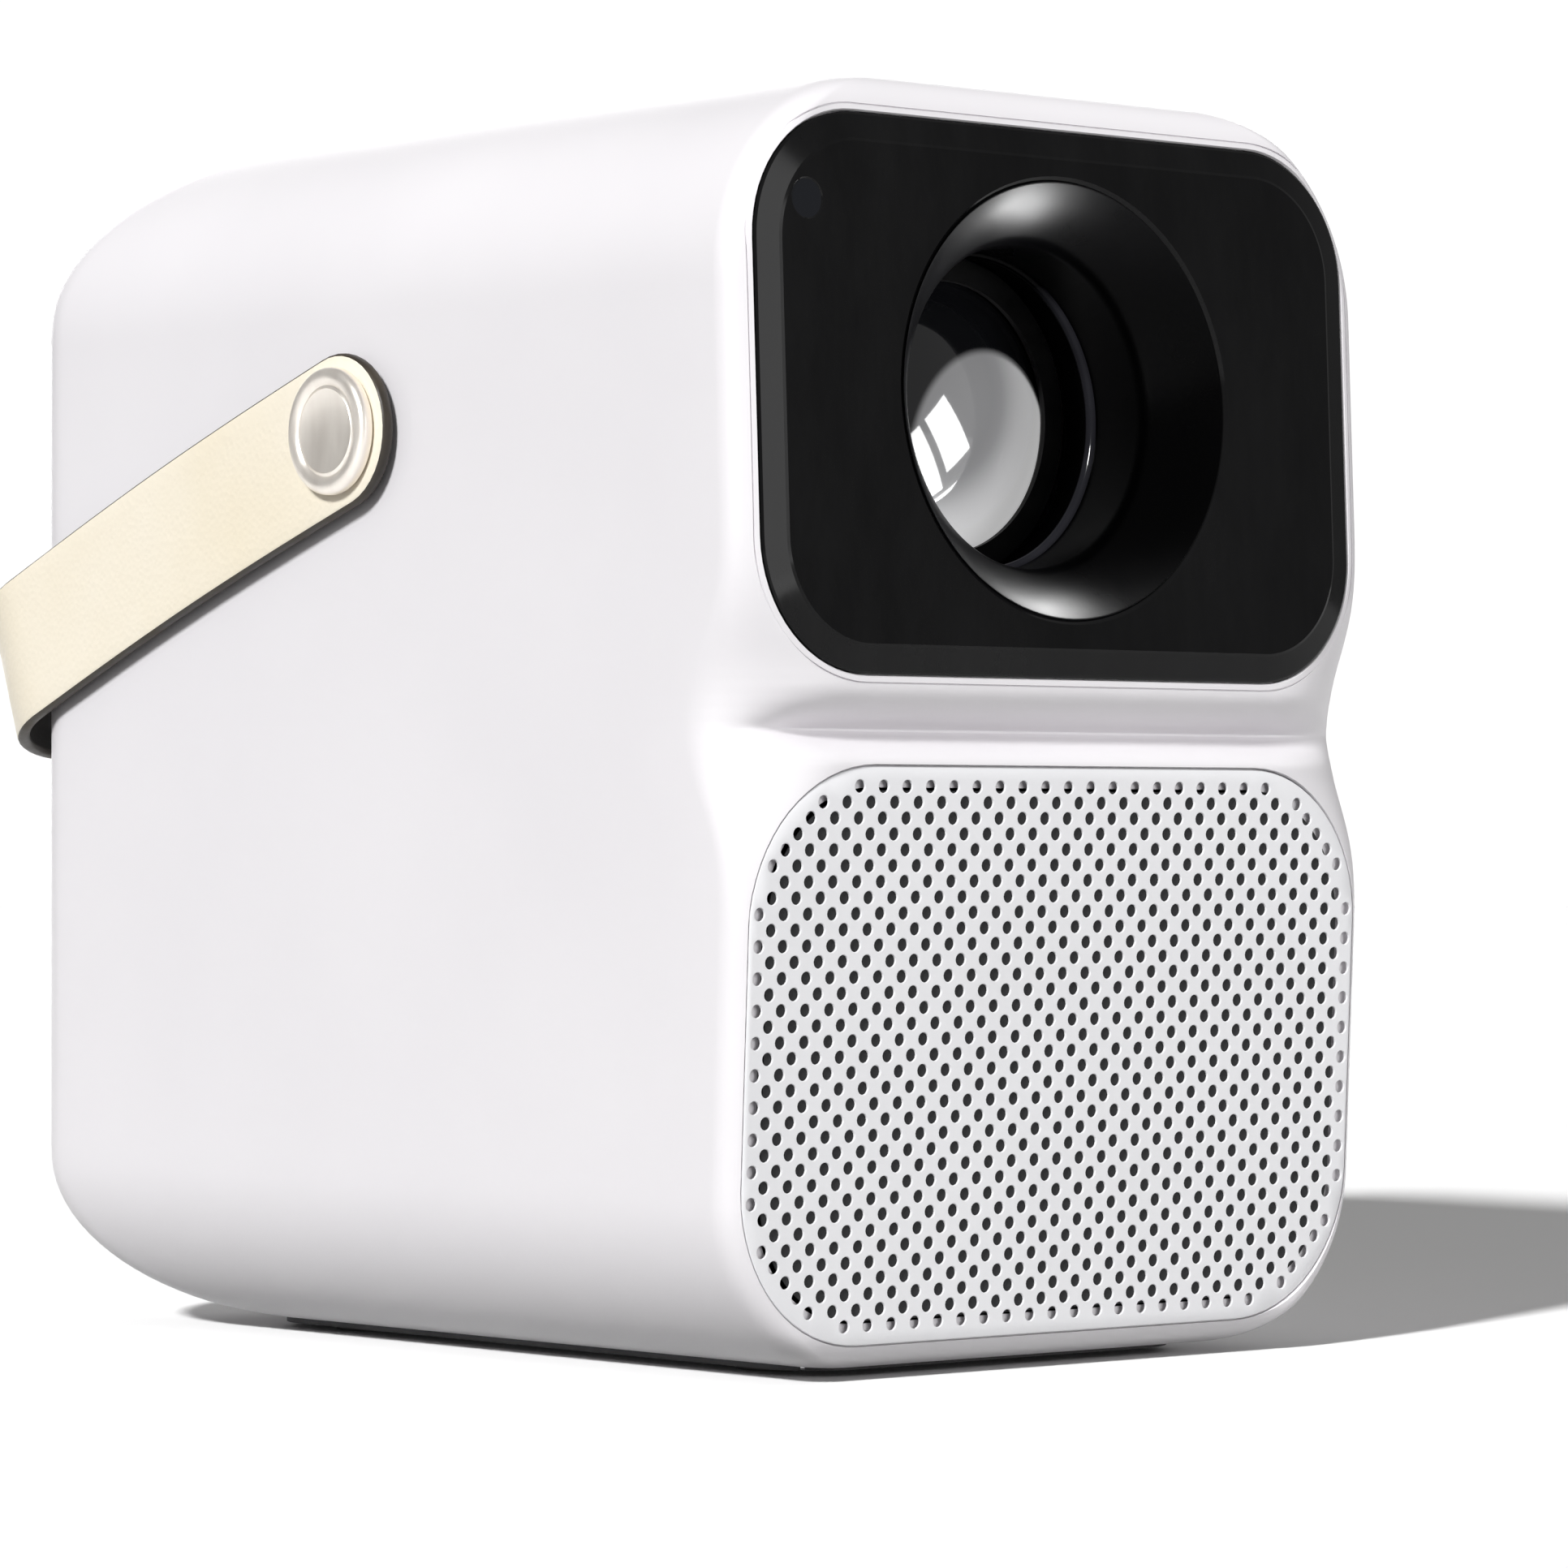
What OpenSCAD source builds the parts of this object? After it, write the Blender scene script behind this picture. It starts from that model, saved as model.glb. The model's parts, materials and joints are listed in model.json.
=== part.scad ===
// Upright home projector: white casing with a figure-eight front, a round lens funnel in a black window
// above a perforated speaker grille, and a leather strap that swings on two side buttons.
// +Z is up, the lens looks along -Y, and +X is on the right of someone who faces the lens.

/* [Casing] */
// Width of the casing, side to side
body_w = 145; // [144:1:147]
// Height from the table to the top
body_h = 215; // [214:1:217]
// Depth of the casing, front to back
body_d = 205; // [204:1:208]
// Wall thickness of the casing
wall = 2.6; // [2.4:0.1:2.8]
// Radius of the casing's upper corners, seen from the front
top_r = 35; // [33:1:36]
// Radius of the casing's lower corners, seen from the front
bottom_r = 29; // [28:1:30]
// Corner radius of the casing's back, seen from the side
rear_r = 30; // [28:1:30]
// Angle by which the window leans back
window_lean = 2.3; // [1.5:0.1:2.5]
// Angle by which the grille leans back
grille_lean = 2.6; // [2:0.1:3]
// Depth of the soft groove between the two front blocks
waist_depth = 9.5; // [8:0.5:10]

/* [Window and lens] */
// Width of the black window
window_w = 135; // [134:1:136]
// Height of the black window
window_h = 92; // [90:1:92]
// Radius of the funnel's mouth
mouth_r = 37; // [36.5:0.1:37.4]
// Outer radius of the lens barrel
barrel_r = 27.5; // [27:0.1:27.8]
// Travel of the lens when it focuses
focus_travel = 4; // [2:0.5:4]

/* [Speaker] */
// Width of the grille
grille_w = 139; // [138:1:140]
// Height of the grille
grille_h = 95; // [94:1:95]
// Distance between neighbouring rows of holes
hole_pitch = 2.6; // [2.5:0.05:2.6]
// Radius of a grille hole
hole_r = 0.9; // [0.8:0.05:1]

/* [Strap] */
// Width of the leather strap
strap_w = 27; // [25:0.5:28]
// Thickness of the leather strap
strap_t = 2.4; // [2:0.1:2.6]
// Distance from the strap's pivot to its back
strap_reach = 126; // [125:1:130]
// Angle below the horizontal at which the strap hangs
strap_droop = 20; // [19:1:22]

/* [Hidden] */
$fn = 64;
eps = 0.01;

// Heights, from the table
shell_z = 2;
waist_top = 114.8;
waist_bottom = 101.5;
waist_z = 107;
lens_z = 161.5;
window_z = 162;
grille_z = 53.5;
frame_z = 107;
fan_z = 146;
rear_z = 107;

// Casing
plan_front_r = 5;
plan_rear_r = 14;
side_front_r = 7;
front_skin = 4.6;
waist_skin = 4;
shell_gap = 0.2;
base_w = 90;
base_l = 152;
base_y = 92;
base_r = 12;
base_z = 1;
base_screw_x = 40;
base_screw_y = 70;
plate_t = 2.6;
rear_w = 116;
rear_h = 146;
rear_corner = 16;
rear_screw_x = 50;
rear_screw_z = 65;
rear_face = body_d - 0.4;
rear_t = 2.4;
rear_inner = rear_face - rear_t;
ledge = 4;
ledge_t = 2.4;
boss_r = 4;
screw_r = 1.25;
screw_head_r = 2.7;
screw_head_h = 1.2;
foot_r = 7;
foot_h = 2;
foot_x = 34;
foot_y = 56;
tripod_r = 3.2;
tripod_depth = 10;

// Window and funnel, in the leaning plane of the window
window_r = 22;
window_proud = 1.2;
window_edge = 2.5;
window_back = 2.2;
funnel_depth = 29.5;
throat_r = 28.4;
funnel_t = 1.5;
funnel_up = (lens_z - waist_top + 28 * sin(window_lean)) / cos(window_lean);
window_up = (window_z - waist_top) / cos(window_lean);
eye_x = -57;
eye_up = window_up + 31;
eye_r = 3.2;

// Lens and focus drive
barrel_y = 27 + focus_travel;
barrel_back = 91;
lens_r = 24;
fit = 0.06;
mount_w = 84;
mount_h = 68;
mount_back = 92;
mount_t = 3.5;
ring_y = 56.3;
ring_w = 8;
ring_teeth = 72;
pinion_teeth = 16;
gear_space = (ring_teeth + pinion_teeth) / 2;
backlash = 0.12;
post_x = 38;
post_up = 30;
motor_r = 7.5;
shaft_r = 1;

// Light engine
engine_w = 80;
engine_h = 68;
engine_y = 92;
engine_l = 58;
engine_wall = 2.5;
cavity_w = engine_w - 2 * engine_wall;
cavity_h = engine_h - 2 * engine_wall;
engine_back = engine_y + engine_l;
panel_y = 101;
ribbon_y = panel_y + 0.7;
condenser_y = 124;
board_t = 1.6;
sink_y = engine_back + 2;
sink_base = 5;
fin_depth = 24;
fin_w = 54;
fin_h = 54;
fin_count = 14;
fin_t = 0.9;
pipe_r = 2.5;
pipe_z = 15;
pipe_pitch = 11;

// Fan
fan_size = 60;
fan_t = 15;
fan_bore = 28.2;
fan_screw_at = 25;
hub_r = 12;
axle_r = 1.5;
blades = 7;
fan_y = rear_inner - fan_t;

// Speaker
box_y = 18;
box_l = 77;
box_w = 118;
box_h = 82;
driver_r = 39;
driver_screw_at = 37;
magnet_r = 24;
magnet_y = box_y + 20;
grille_r = 26;
rows = 17;
columns = 26;
field_w = 2 * columns * hole_pitch + 1;
field_h = 2 * rows * hole_pitch + 1;
field_rx = 23;
field_rz = 21;

// Boards and sockets
board_z = 92;
board_y = 100;
board_l = 98;
board_w = 116;
port_z = board_z + board_t;
hdmi_x = -36;
hdmi_up = 2.9;
usb_x = -10;
usb_up = 3.4;
jack_x = 14;
jack_up = 3.6;
jack_r = 1.8;
jack_depth = 12.4;
inlet_x = 30;
inlet_z = 52;
supply_z = 16;
supply_y = 100;
supply_l = 56;
supply_w = 108;
socket_y = rear_face - 0.2;

// Power button
button_y = 120;
button_r = 7;
button_flange = 8.6;
button_travel = 1.2;
button_foot = body_h - 6.4;
switch_z = lens_z + engine_h / 2;
switch_h = 6.4;
spring_z = switch_z + 4.1;

// Strap
pivot_y = 103.5;
pivot_z = 159.3;
strap_x = body_w / 2 + 1.1;
strap_bend = 22;
neck_r = 4;
head_r = 11;
head_t = 2.5;
strap_hole_r = neck_r + fit;

// Front and back of everything, and the shift that centres it on the origin
front_most = (window_up - window_h / 2 + window_edge) * sin(window_lean) - window_proud * cos(window_lean);
back_most = pivot_y + strap_reach * cos(strap_droop) + strap_w / 2 * sin(strap_droop);
centre_y = (front_most + back_most) / 2;

// ---- helpers ----

module place() {
    translate([0, -centre_y, 0]) children();
}

// A rounded rectangle centred on the origin
module rounded(w, h, r) {
    square([w - 2 * r, h], center = true);
    square([w, h - 2 * r], center = true);
    for (sx = [-1, 1], sy = [-1, 1]) {
        translate([sx * (w / 2 - r), sy * (h / 2 - r)]) circle(r);
    }
}

// Stands a flat outline up in the XZ plane, from y0 to y1
module along_y(y0, y1) {
    translate([0, y1, 0]) rotate([90, 0, 0]) linear_extrude(y1 - y0) children();
}

// A cylinder along Y
module rod_y(x, z, r, y0, y1) {
    translate([x, y1, z]) rotate([90, 0, 0]) cylinder(h = y1 - y0, r = r);
}

// A profile of [radius, y] turned round a Y axis at height z
module turned_y(z) {
    translate([0, 0, z]) rotate([-90, 0, 0]) rotate_extrude() children();
}

// The leaning frame of the window, whose Y axis points into the casing
module in_window() {
    translate([0, 0, waist_top]) rotate([-window_lean, 0, 0]) children();
}

// The leaning frame of the grille
module in_grille() {
    translate([0, 0, waist_bottom]) rotate([grille_lean, 0, 0]) children();
}

// The side of a lens that bulges towards +Y: everything under a sphere whose cap is bulge high at radius r
module lens_cap(r, edge, bulge) {
    sphere_r = (r * r + bulge * bulge) / (2 * bulge);
    translate([0, edge + bulge - sphere_r]) circle(sphere_r, $fn = 256);
}

// A lens of radius r whose rim runs from y0 to y1: bulge_f faces -Y, bulge_b faces +Y, and 0 is a flat face
module lens(r, y0, y1, bulge_f, bulge_b) {
    turned_y(lens_z) intersection() {
        translate([0, y0 - bulge_f]) square([r, y1 - y0 + bulge_f + bulge_b]);
        if (bulge_f > 0) mirror([0, 1]) lens_cap(r, -y0, bulge_f);
        if (bulge_b > 0) lens_cap(r, y1, bulge_b);
    }
}

// ---- casing ----

// Front plane of the casing at height z
function front_at(z) =
    z > waist_top ? (z - waist_top) * tan(window_lean)
    : z < waist_bottom ? (waist_bottom - z) * tan(grille_lean)
    : 0;

// The casing's solid, shrunk by inset on every side and by skin at the front
module casing(inset, skin) {
    top = body_h - inset;
    bottom = shell_z + inset;
    back = body_d - inset;
    mid = (top + bottom) / 2;
    intersection() {
        translate([0, 0, mid]) along_y(-5, body_d + 5) intersection() {
            rounded(body_w - 2 * inset, top - bottom, bottom_r - inset);
            translate([0, -top_r]) rounded(body_w - 2 * inset, top - bottom + 2 * top_r, top_r - inset);
        }
        rotate([90, 0, 90]) translate([0, 0, -body_w]) linear_extrude(2 * body_w) intersection() {
            polygon([
                [front_at(body_h) + skin, body_h], [skin, waist_top], [skin, waist_bottom],
                [front_at(0) + skin, 0], [back, 0], [back, body_h]
            ]);
            translate([(back + skin) / 2, mid]) rounded(back - skin, top - bottom, side_front_r);
            translate([back / 2 - 20, mid]) rounded(back + 40, top - bottom, rear_r - inset);
        }
        translate([0, (back + skin) / 2, -5]) linear_extrude(body_h + 10) intersection() {
            rounded(body_w - 2 * inset, back - skin, plan_front_r);
            translate([0, -20]) rounded(body_w - 2 * inset, back - skin + 40, plan_rear_r - inset);
        }
    }
}

// The groove between the front blocks, as a wedge that points into the casing
module waist(shift) {
    rise = waist_top - waist_z;
    drop = waist_z - waist_bottom;
    rotate([90, 0, 90]) translate([0, 0, -body_w]) linear_extrude(2 * body_w)
        polygon([
            [shift - waist_depth, waist_z + 2 * rise], [shift + waist_depth, waist_z],
            [shift - waist_depth, waist_z - 2 * drop]
        ]);
}

module base_points() {
    for (x = [-1, 1], y = [-1, 1]) translate([x * base_screw_x, base_y + y * base_screw_y, 0]) children();
}

module rear_points() {
    for (x = [-1, 1], z = [-1, 1]) translate([x * rear_screw_x, 0, rear_z + z * rear_screw_z]) children();
}

module outer_shell() {
    color("white") place() difference() {
        union() {
            difference() {
                casing(0, 0);
                difference() {
                    casing(wall, front_skin);
                    waist(waist_skin);
                }
            }
            // Ledges that the inner frame rests on
            for (s = [-1, 1]) translate([s * (body_w / 2 - 5), 107, frame_z - 1])
                cube([7, 150, 2], center = true);
            // Rim inside the bottom opening, and its screw bosses
            translate([0, base_y, base_z + plate_t]) linear_extrude(ledge_t) difference() {
                rounded(base_w + 6, base_l + 6, base_r + 3);
                rounded(base_w - 2 * ledge, base_l - 2 * ledge, base_r - ledge);
            }
            base_points() translate([0, 0, base_z + plate_t]) cylinder(h = 8.4, r = boss_r);
            // Rim inside the back opening, and its screw bosses
            translate([0, 0, rear_z]) along_y(rear_inner - ledge_t, body_d - wall + 0.1) difference() {
                rounded(rear_w + 6, rear_h + 6, rear_corner + 3);
                rounded(rear_w - 2 * ledge, rear_h - 2 * ledge, rear_corner - ledge);
            }
            rear_points() rod_y(0, 0, boss_r, rear_inner - 11, rear_inner);
        }
        waist(0);
        // Bottom and back openings
        translate([0, base_y, -1]) linear_extrude(base_z + plate_t + 1)
            rounded(base_w + 2 * shell_gap, base_l + 2 * shell_gap, base_r + shell_gap);
        translate([0, base_y, 0]) linear_extrude(base_z + plate_t + 1) difference() {
            rounded(base_w - 2 * ledge, base_l - 2 * ledge, base_r - ledge);
            for (x = [-1, 1], y = [-1, 1]) translate([x * base_screw_x, y * base_screw_y]) circle(boss_r);
        }
        translate([0, 0, rear_z]) along_y(rear_inner, body_d + 1)
            rounded(rear_w + 2 * shell_gap, rear_h + 2 * shell_gap, rear_corner + shell_gap);
        base_points() cylinder(h = 12, r = screw_r + fit);
        rear_points() rod_y(0, 0, screw_r + fit, rear_inner - 11, rear_inner + 1);
        // Pocket and opening for the window
        in_window() translate([0, 0, window_up]) {
            along_y(-10, window_back) rounded(window_w + 2 * shell_gap, window_h + 2 * shell_gap, window_r);
            along_y(-10, 14) rounded(window_w - 7, window_h - 7, window_r - 3);
        }
        // Pocket and opening for the grille
        in_grille() translate([0, 0, grille_z - waist_bottom]) {
            along_y(-10, 1.5) rounded(grille_w + 2 * shell_gap, grille_h + 2 * shell_gap, grille_r);
            along_y(-10, 14) rounded(grille_w - 7, grille_h - 7, grille_r - 3);
        }
        // Holes for the power button and the strap screws
        translate([0, button_y, body_h - 10]) cylinder(h = 20, r = button_r + fit);
        translate([0, pivot_y, pivot_z]) rotate([0, 90, 0])
            cylinder(h = 2 * body_w, r = neck_r + fit, center = true);
    }
}

module rear_cover() {
    slot_w = 52;
    color("whitesmoke") place() difference() {
        translate([0, 0, rear_z]) along_y(rear_inner, rear_face) rounded(rear_w, rear_h, rear_corner);
        // Air outlet behind the fan
        for (i = [-4.5:4.5]) translate([0, 0, fan_z + i * 6]) along_y(rear_inner - 1, rear_face + 1)
            rounded(slot_w, 3, 1.45);
        // Socket openings
        translate([hdmi_x, 0, port_z + hdmi_up]) along_y(rear_inner - 1, rear_face + 1)
            square([15.4, 6.2], center = true);
        translate([usb_x, 0, port_z + usb_up]) along_y(rear_inner - 1, rear_face + 1)
            square([14.9, 7.2], center = true);
        rod_y(jack_x, port_z + jack_up, 3.2, rear_inner - 1, rear_face + 1);
        translate([inlet_x, 0, inlet_z]) along_y(rear_inner - 1, rear_face + 1) rounded(22, 13, 6);
        rear_points() rod_y(0, 0, screw_r + 0.2, rear_inner - 1, rear_face + 1);
        rear_points() rod_y(0, 0, screw_head_r + 0.1, rear_face - screw_head_h, rear_face + 1);
    }
}

module foot_points() {
    for (x = [-1, 1], y = [-1, 1]) translate([x * foot_x, base_y + y * foot_y, 0]) children();
}

module base_plate() {
    color("dimgray") place() difference() {
        union() {
            translate([0, base_y, base_z]) linear_extrude(plate_t) rounded(base_w, base_l, base_r);
            translate([0, base_y, base_z]) cylinder(h = 11, r = 9);
            // Posts under the power supply
            for (x = [-36, 36], y = [supply_y + 12, supply_y + 42])
                translate([x, y, base_z]) cylinder(h = supply_z - base_z, r = 3);
        }
        foot_points() cylinder(h = foot_h, r = foot_r);
        translate([0, base_y, 0]) cylinder(h = 12, r = 6);
        base_points() cylinder(h = 5, r = screw_r + 0.2);
        base_points() cylinder(h = base_z + screw_head_h, r = screw_head_r + 0.1);
    }
}

module rubber_feet() {
    color("black") place() foot_points() cylinder(h = foot_h, r = foot_r);
}

module tripod_insert() {
    color("goldenrod") place() translate([0, base_y, base_z]) difference() {
        cylinder(h = 11, r = 6);
        translate([0, 0, -1]) cylinder(h = tripod_depth + 1, r = tripod_r);
    }
}

module base_screws() {
    color("silver") place() base_points() translate([0, 0, base_z]) {
        cylinder(h = screw_head_h, r = screw_head_r);
        cylinder(h = 9, r = screw_r);
    }
}

module rear_screws() {
    color("silver") place() rear_points() {
        rod_y(0, 0, screw_head_r, rear_face - screw_head_h, rear_face);
        rod_y(0, 0, screw_r, rear_face - 10, rear_face);
    }
}

// ---- window and lens funnel ----

module front_window() {
    color("black") place() in_window() difference() {
        union() {
            translate([0, 0, window_up]) along_y(0, window_back) rounded(window_w, window_h, window_r);
            translate([0, 0, window_up]) along_y(-window_proud, eps)
                rounded(window_w - 2 * window_edge, window_h - 2 * window_edge, window_r - window_edge);
        }
        rod_y(0, funnel_up, mouth_r, -5, 10);
        rod_y(eye_x, eye_up, eye_r, -5, 10);
    }
}

module lens_funnel() {
    color("black") place() in_window() turned_y(funnel_up) polygon([
        [mouth_r - funnel_t, -window_proud + 0.3], [mouth_r, -window_proud + 0.3], [mouth_r, window_back],
        [mouth_r + 2, window_back], [mouth_r + 2, window_back + 2], [mouth_r - 1, 6], [throat_r + 3, 14],
        [throat_r + funnel_t, 20], [throat_r + funnel_t, funnel_depth], [throat_r, funnel_depth],
        [throat_r, 18], [throat_r + 2, 12], [mouth_r - funnel_t - 1.5, 4]
    ]);
}

module autofocus_camera() {
    color("darkslategray") place() in_window() {
        rod_y(eye_x, eye_up, eye_r, -window_proud + 0.2, window_back + 8);
    }
}

module infrared_receiver() {
    color("dimgray") place() in_window() translate([44, window_back, window_up - 33]) {
        translate([-3, 0, -3.5]) cube([6, 4, 7]);
        translate([-5, 4, -6]) cube([10, 1.2, 12]);
    }
}

// ---- speaker ----

// Whether a grille hole lies in the rounded field of holes
function in_field(x, z) =
    norm([
        max(abs(x) - field_w / 2 + field_rx, 0) / field_rx,
        max(abs(z) - field_h / 2 + field_rz, 0) / field_rz
    ]) <= 1;

module speaker_grille() {
    color("gainsboro") place() in_grille() translate([0, 0, grille_z - waist_bottom]) along_y(0.3, 1.5)
        difference() {
            rounded(grille_w, grille_h, grille_r);
            for (j = [-rows:rows], i = [-columns:columns]) {
                x = i * hole_pitch;
                z = j * hole_pitch;
                if (abs(i + j) % 2 == 1 && in_field(x, z)) translate([x, z]) circle(hole_r);
            }
        }
}

module driver_screws() {
    for (a = [45:90:315]) translate([0, 0, grille_z]) rotate([0, a, 0]) children();
}

module speaker_box() {
    color("dimgray") place() difference() {
        translate([-box_w / 2, box_y, grille_z - box_h / 2]) cube([box_w, box_l, box_h]);
        translate([-box_w / 2 + 3, box_y + 3, grille_z - box_h / 2 + 3])
            cube([box_w - 6, box_l - 6, box_h - 6]);
        rod_y(0, grille_z, 35, box_y - 1, box_y + 5);
        driver_screws() rod_y(driver_screw_at, 0, 1, box_y - 1, box_y + 5);
    }
}

module speaker_basket() {
    color("gray") place() difference() {
        turned_y(grille_z) polygon([
            [34.4, box_y - 2], [driver_r, box_y - 2], [driver_r, box_y], [34.4, box_y], [22, box_y + 20],
            [11.5, box_y + 20], [11.5, box_y + 18.5], [21, box_y + 18.5], [33, box_y - 1]
        ]);
        driver_screws() rod_y(driver_screw_at, 0, 1, box_y - 3, box_y + 1);
        for (a = [0:60:300]) translate([0, box_y + 12, grille_z]) rotate([0, a, 0])
            translate([26, 0, 0]) cube([16, 7, 10], center = true);
    }
}

module speaker_surround() {
    color("black") place() turned_y(grille_z) difference() {
        union() {
            translate([31.5, box_y - 2]) circle(3.2);
            translate([31, box_y - 2.8]) square([3.8, 0.8]);
        }
        translate([31.5, box_y - 2]) circle(2.4);
        translate([20, box_y - 2]) square([20, 10]);
    }
}

module speaker_cone() {
    color("darkgray") place() turned_y(grille_z) polygon([
        [0, box_y + 5], [6, box_y + 6.5], [10, box_y + 10], [28.4, box_y - 2], [29.2, box_y - 2],
        [11, box_y + 11], [11, box_y + 18], [10, box_y + 18], [10, box_y + 11], [0, box_y + 6]
    ]);
}

module speaker_magnet() {
    color("black") place() {
        difference() {
            rod_y(0, grille_z, magnet_r, magnet_y, magnet_y + 14);
            rod_y(0, grille_z, 11.4, magnet_y - 1, magnet_y + 10);
        }
        rod_y(0, grille_z, 9.4, magnet_y - 6, magnet_y + 11);
    }
}

module speaker_screws() {
    color("silver") place() driver_screws() {
        rod_y(driver_screw_at, 0, 1.9, box_y - 3.2, box_y - 2);
        rod_y(driver_screw_at, 0, 0.95, box_y - 3, box_y + 4);
    }
}

// ---- lens and focus drive ----

module lens_barrel() {
    color("black") place() turned_y(lens_z) polygon([
        [lens_r - 0.7, barrel_y], [barrel_r, barrel_y], [barrel_r, barrel_back], [lens_r - 3, barrel_back],
        [lens_r - 3, 89], [lens_r - 1.5, 89], [lens_r - 1.5, 78], [lens_r - 3, 78], [lens_r - 3, 66],
        [lens_r - 1.5, 66], [lens_r - 1.5, 56], [lens_r - 3, 56], [lens_r - 3, 42], [lens_r, 38],
        [lens_r, barrel_y + 2], [lens_r - 0.7, barrel_y + 1]
    ]);
}

module front_lens() {
    color("lightsteelblue") place() lens(lens_r, barrel_y + 2, barrel_y + 7, 5, 0);
}

module middle_lens() {
    color("lightsteelblue") place() lens(lens_r - 1.5, 59, 63, 2, 2);
}

module rear_lens() {
    color("lightsteelblue") place() lens(lens_r - 1.5, 81, 86, 0, 2);
}

module lens_mount() {
    color("dimgray") place() difference() {
        union() {
            translate([0, 0, lens_z]) along_y(mount_back - mount_t, mount_back) rounded(mount_w, mount_h, 5);
            translate([-9, mount_back - mount_t, frame_z + 1]) cube([18, mount_t, 24]);
            translate([0, 0, lens_z]) along_y(ring_y - 0.3 - mount_t, ring_y - 0.3)
                rounded(mount_w, mount_h, 5);
            rod_y(0, lens_z, barrel_r + 2.6, ring_y + ring_w + 0.3, mount_back - 1);
            for (x = [-post_x, post_x], z = [-post_up, post_up])
                rod_y(x, lens_z + z, 3.2, ring_y - 1, mount_back - 1);
        }
        rod_y(0, lens_z, barrel_r + fit, ring_y - 10, mount_back + 1);
        // Room for the pinion under the front plate
        translate([0, 0, lens_z - gear_space]) along_y(ring_y - 10, ring_y) circle(11);
    }
}

// Degrees between a tooth's centre line and its flank at radius r, for module 1 and a 20 degree flank
function involute(a) = tan(a) * 180 / PI - a;
function flank(teeth, r) =
    90 / teeth - backlash * 360 / (PI * teeth) + involute(20)
    - involute(acos(min(1, teeth / 2 * cos(20) / r)));
function at(r, a) = [r * cos(a), r * sin(a)];

// Outline of one tooth centred on angle a, from below the root to the tip
function tooth(teeth, a) =
    let (
        tip = teeth / 2 + 0.95,
        low = teeth / 2 - 1.6,
        steps = [low, teeth / 2 - 0.5, teeth / 2, teeth / 2 + 0.5, tip]
    )
    concat(
        [for (r = steps) at(r, a - flank(teeth, r))],
        [for (i = [len(steps) - 1:-1:0]) at(steps[i], a + flank(teeth, steps[i]))]
    );

module focus_ring() {
    color("gray") place() translate([0, 0, lens_z]) along_y(ring_y, ring_y + ring_w) difference() {
        union() {
            circle(ring_teeth / 2 - 1.25);
            for (k = [-4:24]) polygon(tooth(ring_teeth, -90 + 2.5 + 5 * k));
        }
        circle(barrel_r + fit);
    }
}

module focus_pinion() {
    color("goldenrod") place() translate([0, 0, lens_z - gear_space]) {
        along_y(ring_y, ring_y + ring_w) union() {
            circle(pinion_teeth / 2 - 1.25);
            for (k = [0:pinion_teeth - 1]) polygon(tooth(pinion_teeth, 90 + 360 / pinion_teeth * k));
        }
        rod_y(0, 0, shaft_r, ring_y + ring_w - 1, ring_y + ring_w + 10);
    }
}

module focus_motor() {
    color("silver") place() translate([0, 0, lens_z - gear_space]) difference() {
        rod_y(0, 0, motor_r, ring_y + ring_w + 0.7, mount_back - mount_t);
        rod_y(0, 0, shaft_r + fit, ring_y + ring_w, ring_y + ring_w + 11);
    }
}

// ---- light engine ----

module engine_block(y0, y1, w, h) {
    translate([-w / 2, y0, lens_z - h / 2]) cube([w, y1 - y0, h]);
}

module engine_housing() {
    color("darkslategray") place() difference() {
        engine_block(engine_y, engine_back, engine_w, engine_h);
        difference() {
            translate([-cavity_w / 2, engine_y + engine_wall, lens_z - cavity_h / 2])
                cube([cavity_w, engine_l - 2 * engine_wall, engine_h]);
            // Wall that carries the condenser
            engine_block(condenser_y - 2, condenser_y, engine_w, engine_h);
        }
        rod_y(0, lens_z, 22, engine_y - 1, engine_y + 5);
        rod_y(0, lens_z, 23, condenser_y - 3, condenser_y + 1);
        engine_block(engine_back - 5, engine_back + 1, 14, 14);
        translate([-cavity_w / 2, condenser_y - 4, lens_z + cavity_h / 2]) cube([cavity_w, 6, 10]);
        // Slit for the picture panel's ribbon
        translate([-12, ribbon_y - 0.3, lens_z - engine_h / 2 - 1]) cube([24, 1, 5]);
    }
}

module engine_lid() {
    color("slategray") place() translate([-cavity_w / 2, engine_y + engine_wall, lens_z + cavity_h / 2])
        cube([cavity_w, engine_l - 2 * engine_wall, engine_wall]);
}

module optical_plate(y, t) {
    engine_block(y, y + t, cavity_w, cavity_h);
}

module front_fresnel() {
    color("lightcyan") place() optical_plate(panel_y - 5, 2);
}

module lcd_panel() {
    color("midnightblue") place() optical_plate(panel_y, 1.8);
}

module heat_glass() {
    color("lightcyan") place() optical_plate(panel_y + 6, 1.5);
}

module rear_fresnel() {
    color("lightcyan") place() optical_plate(panel_y + 11, 2);
}

module lcd_ribbon() {
    color("orange") place() translate([-10, ribbon_y, port_z])
        cube([20, 0.4, lens_z - cavity_h / 2 - port_z]);
}

module condenser_lens() {
    color("lightcyan") place() lens(27, condenser_y, condenser_y + 4, 0, 8);
}

module led_module() {
    color("gold") place() {
        translate([-18, engine_back, lens_z - 18]) cube([36, 2, 36]);
        translate([-5, engine_back - 1.5, lens_z - 5]) cube([10, 1.6, 10]);
        rod_y(0, lens_z, 4, engine_back - 3, engine_back - 1);
    }
}

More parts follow.
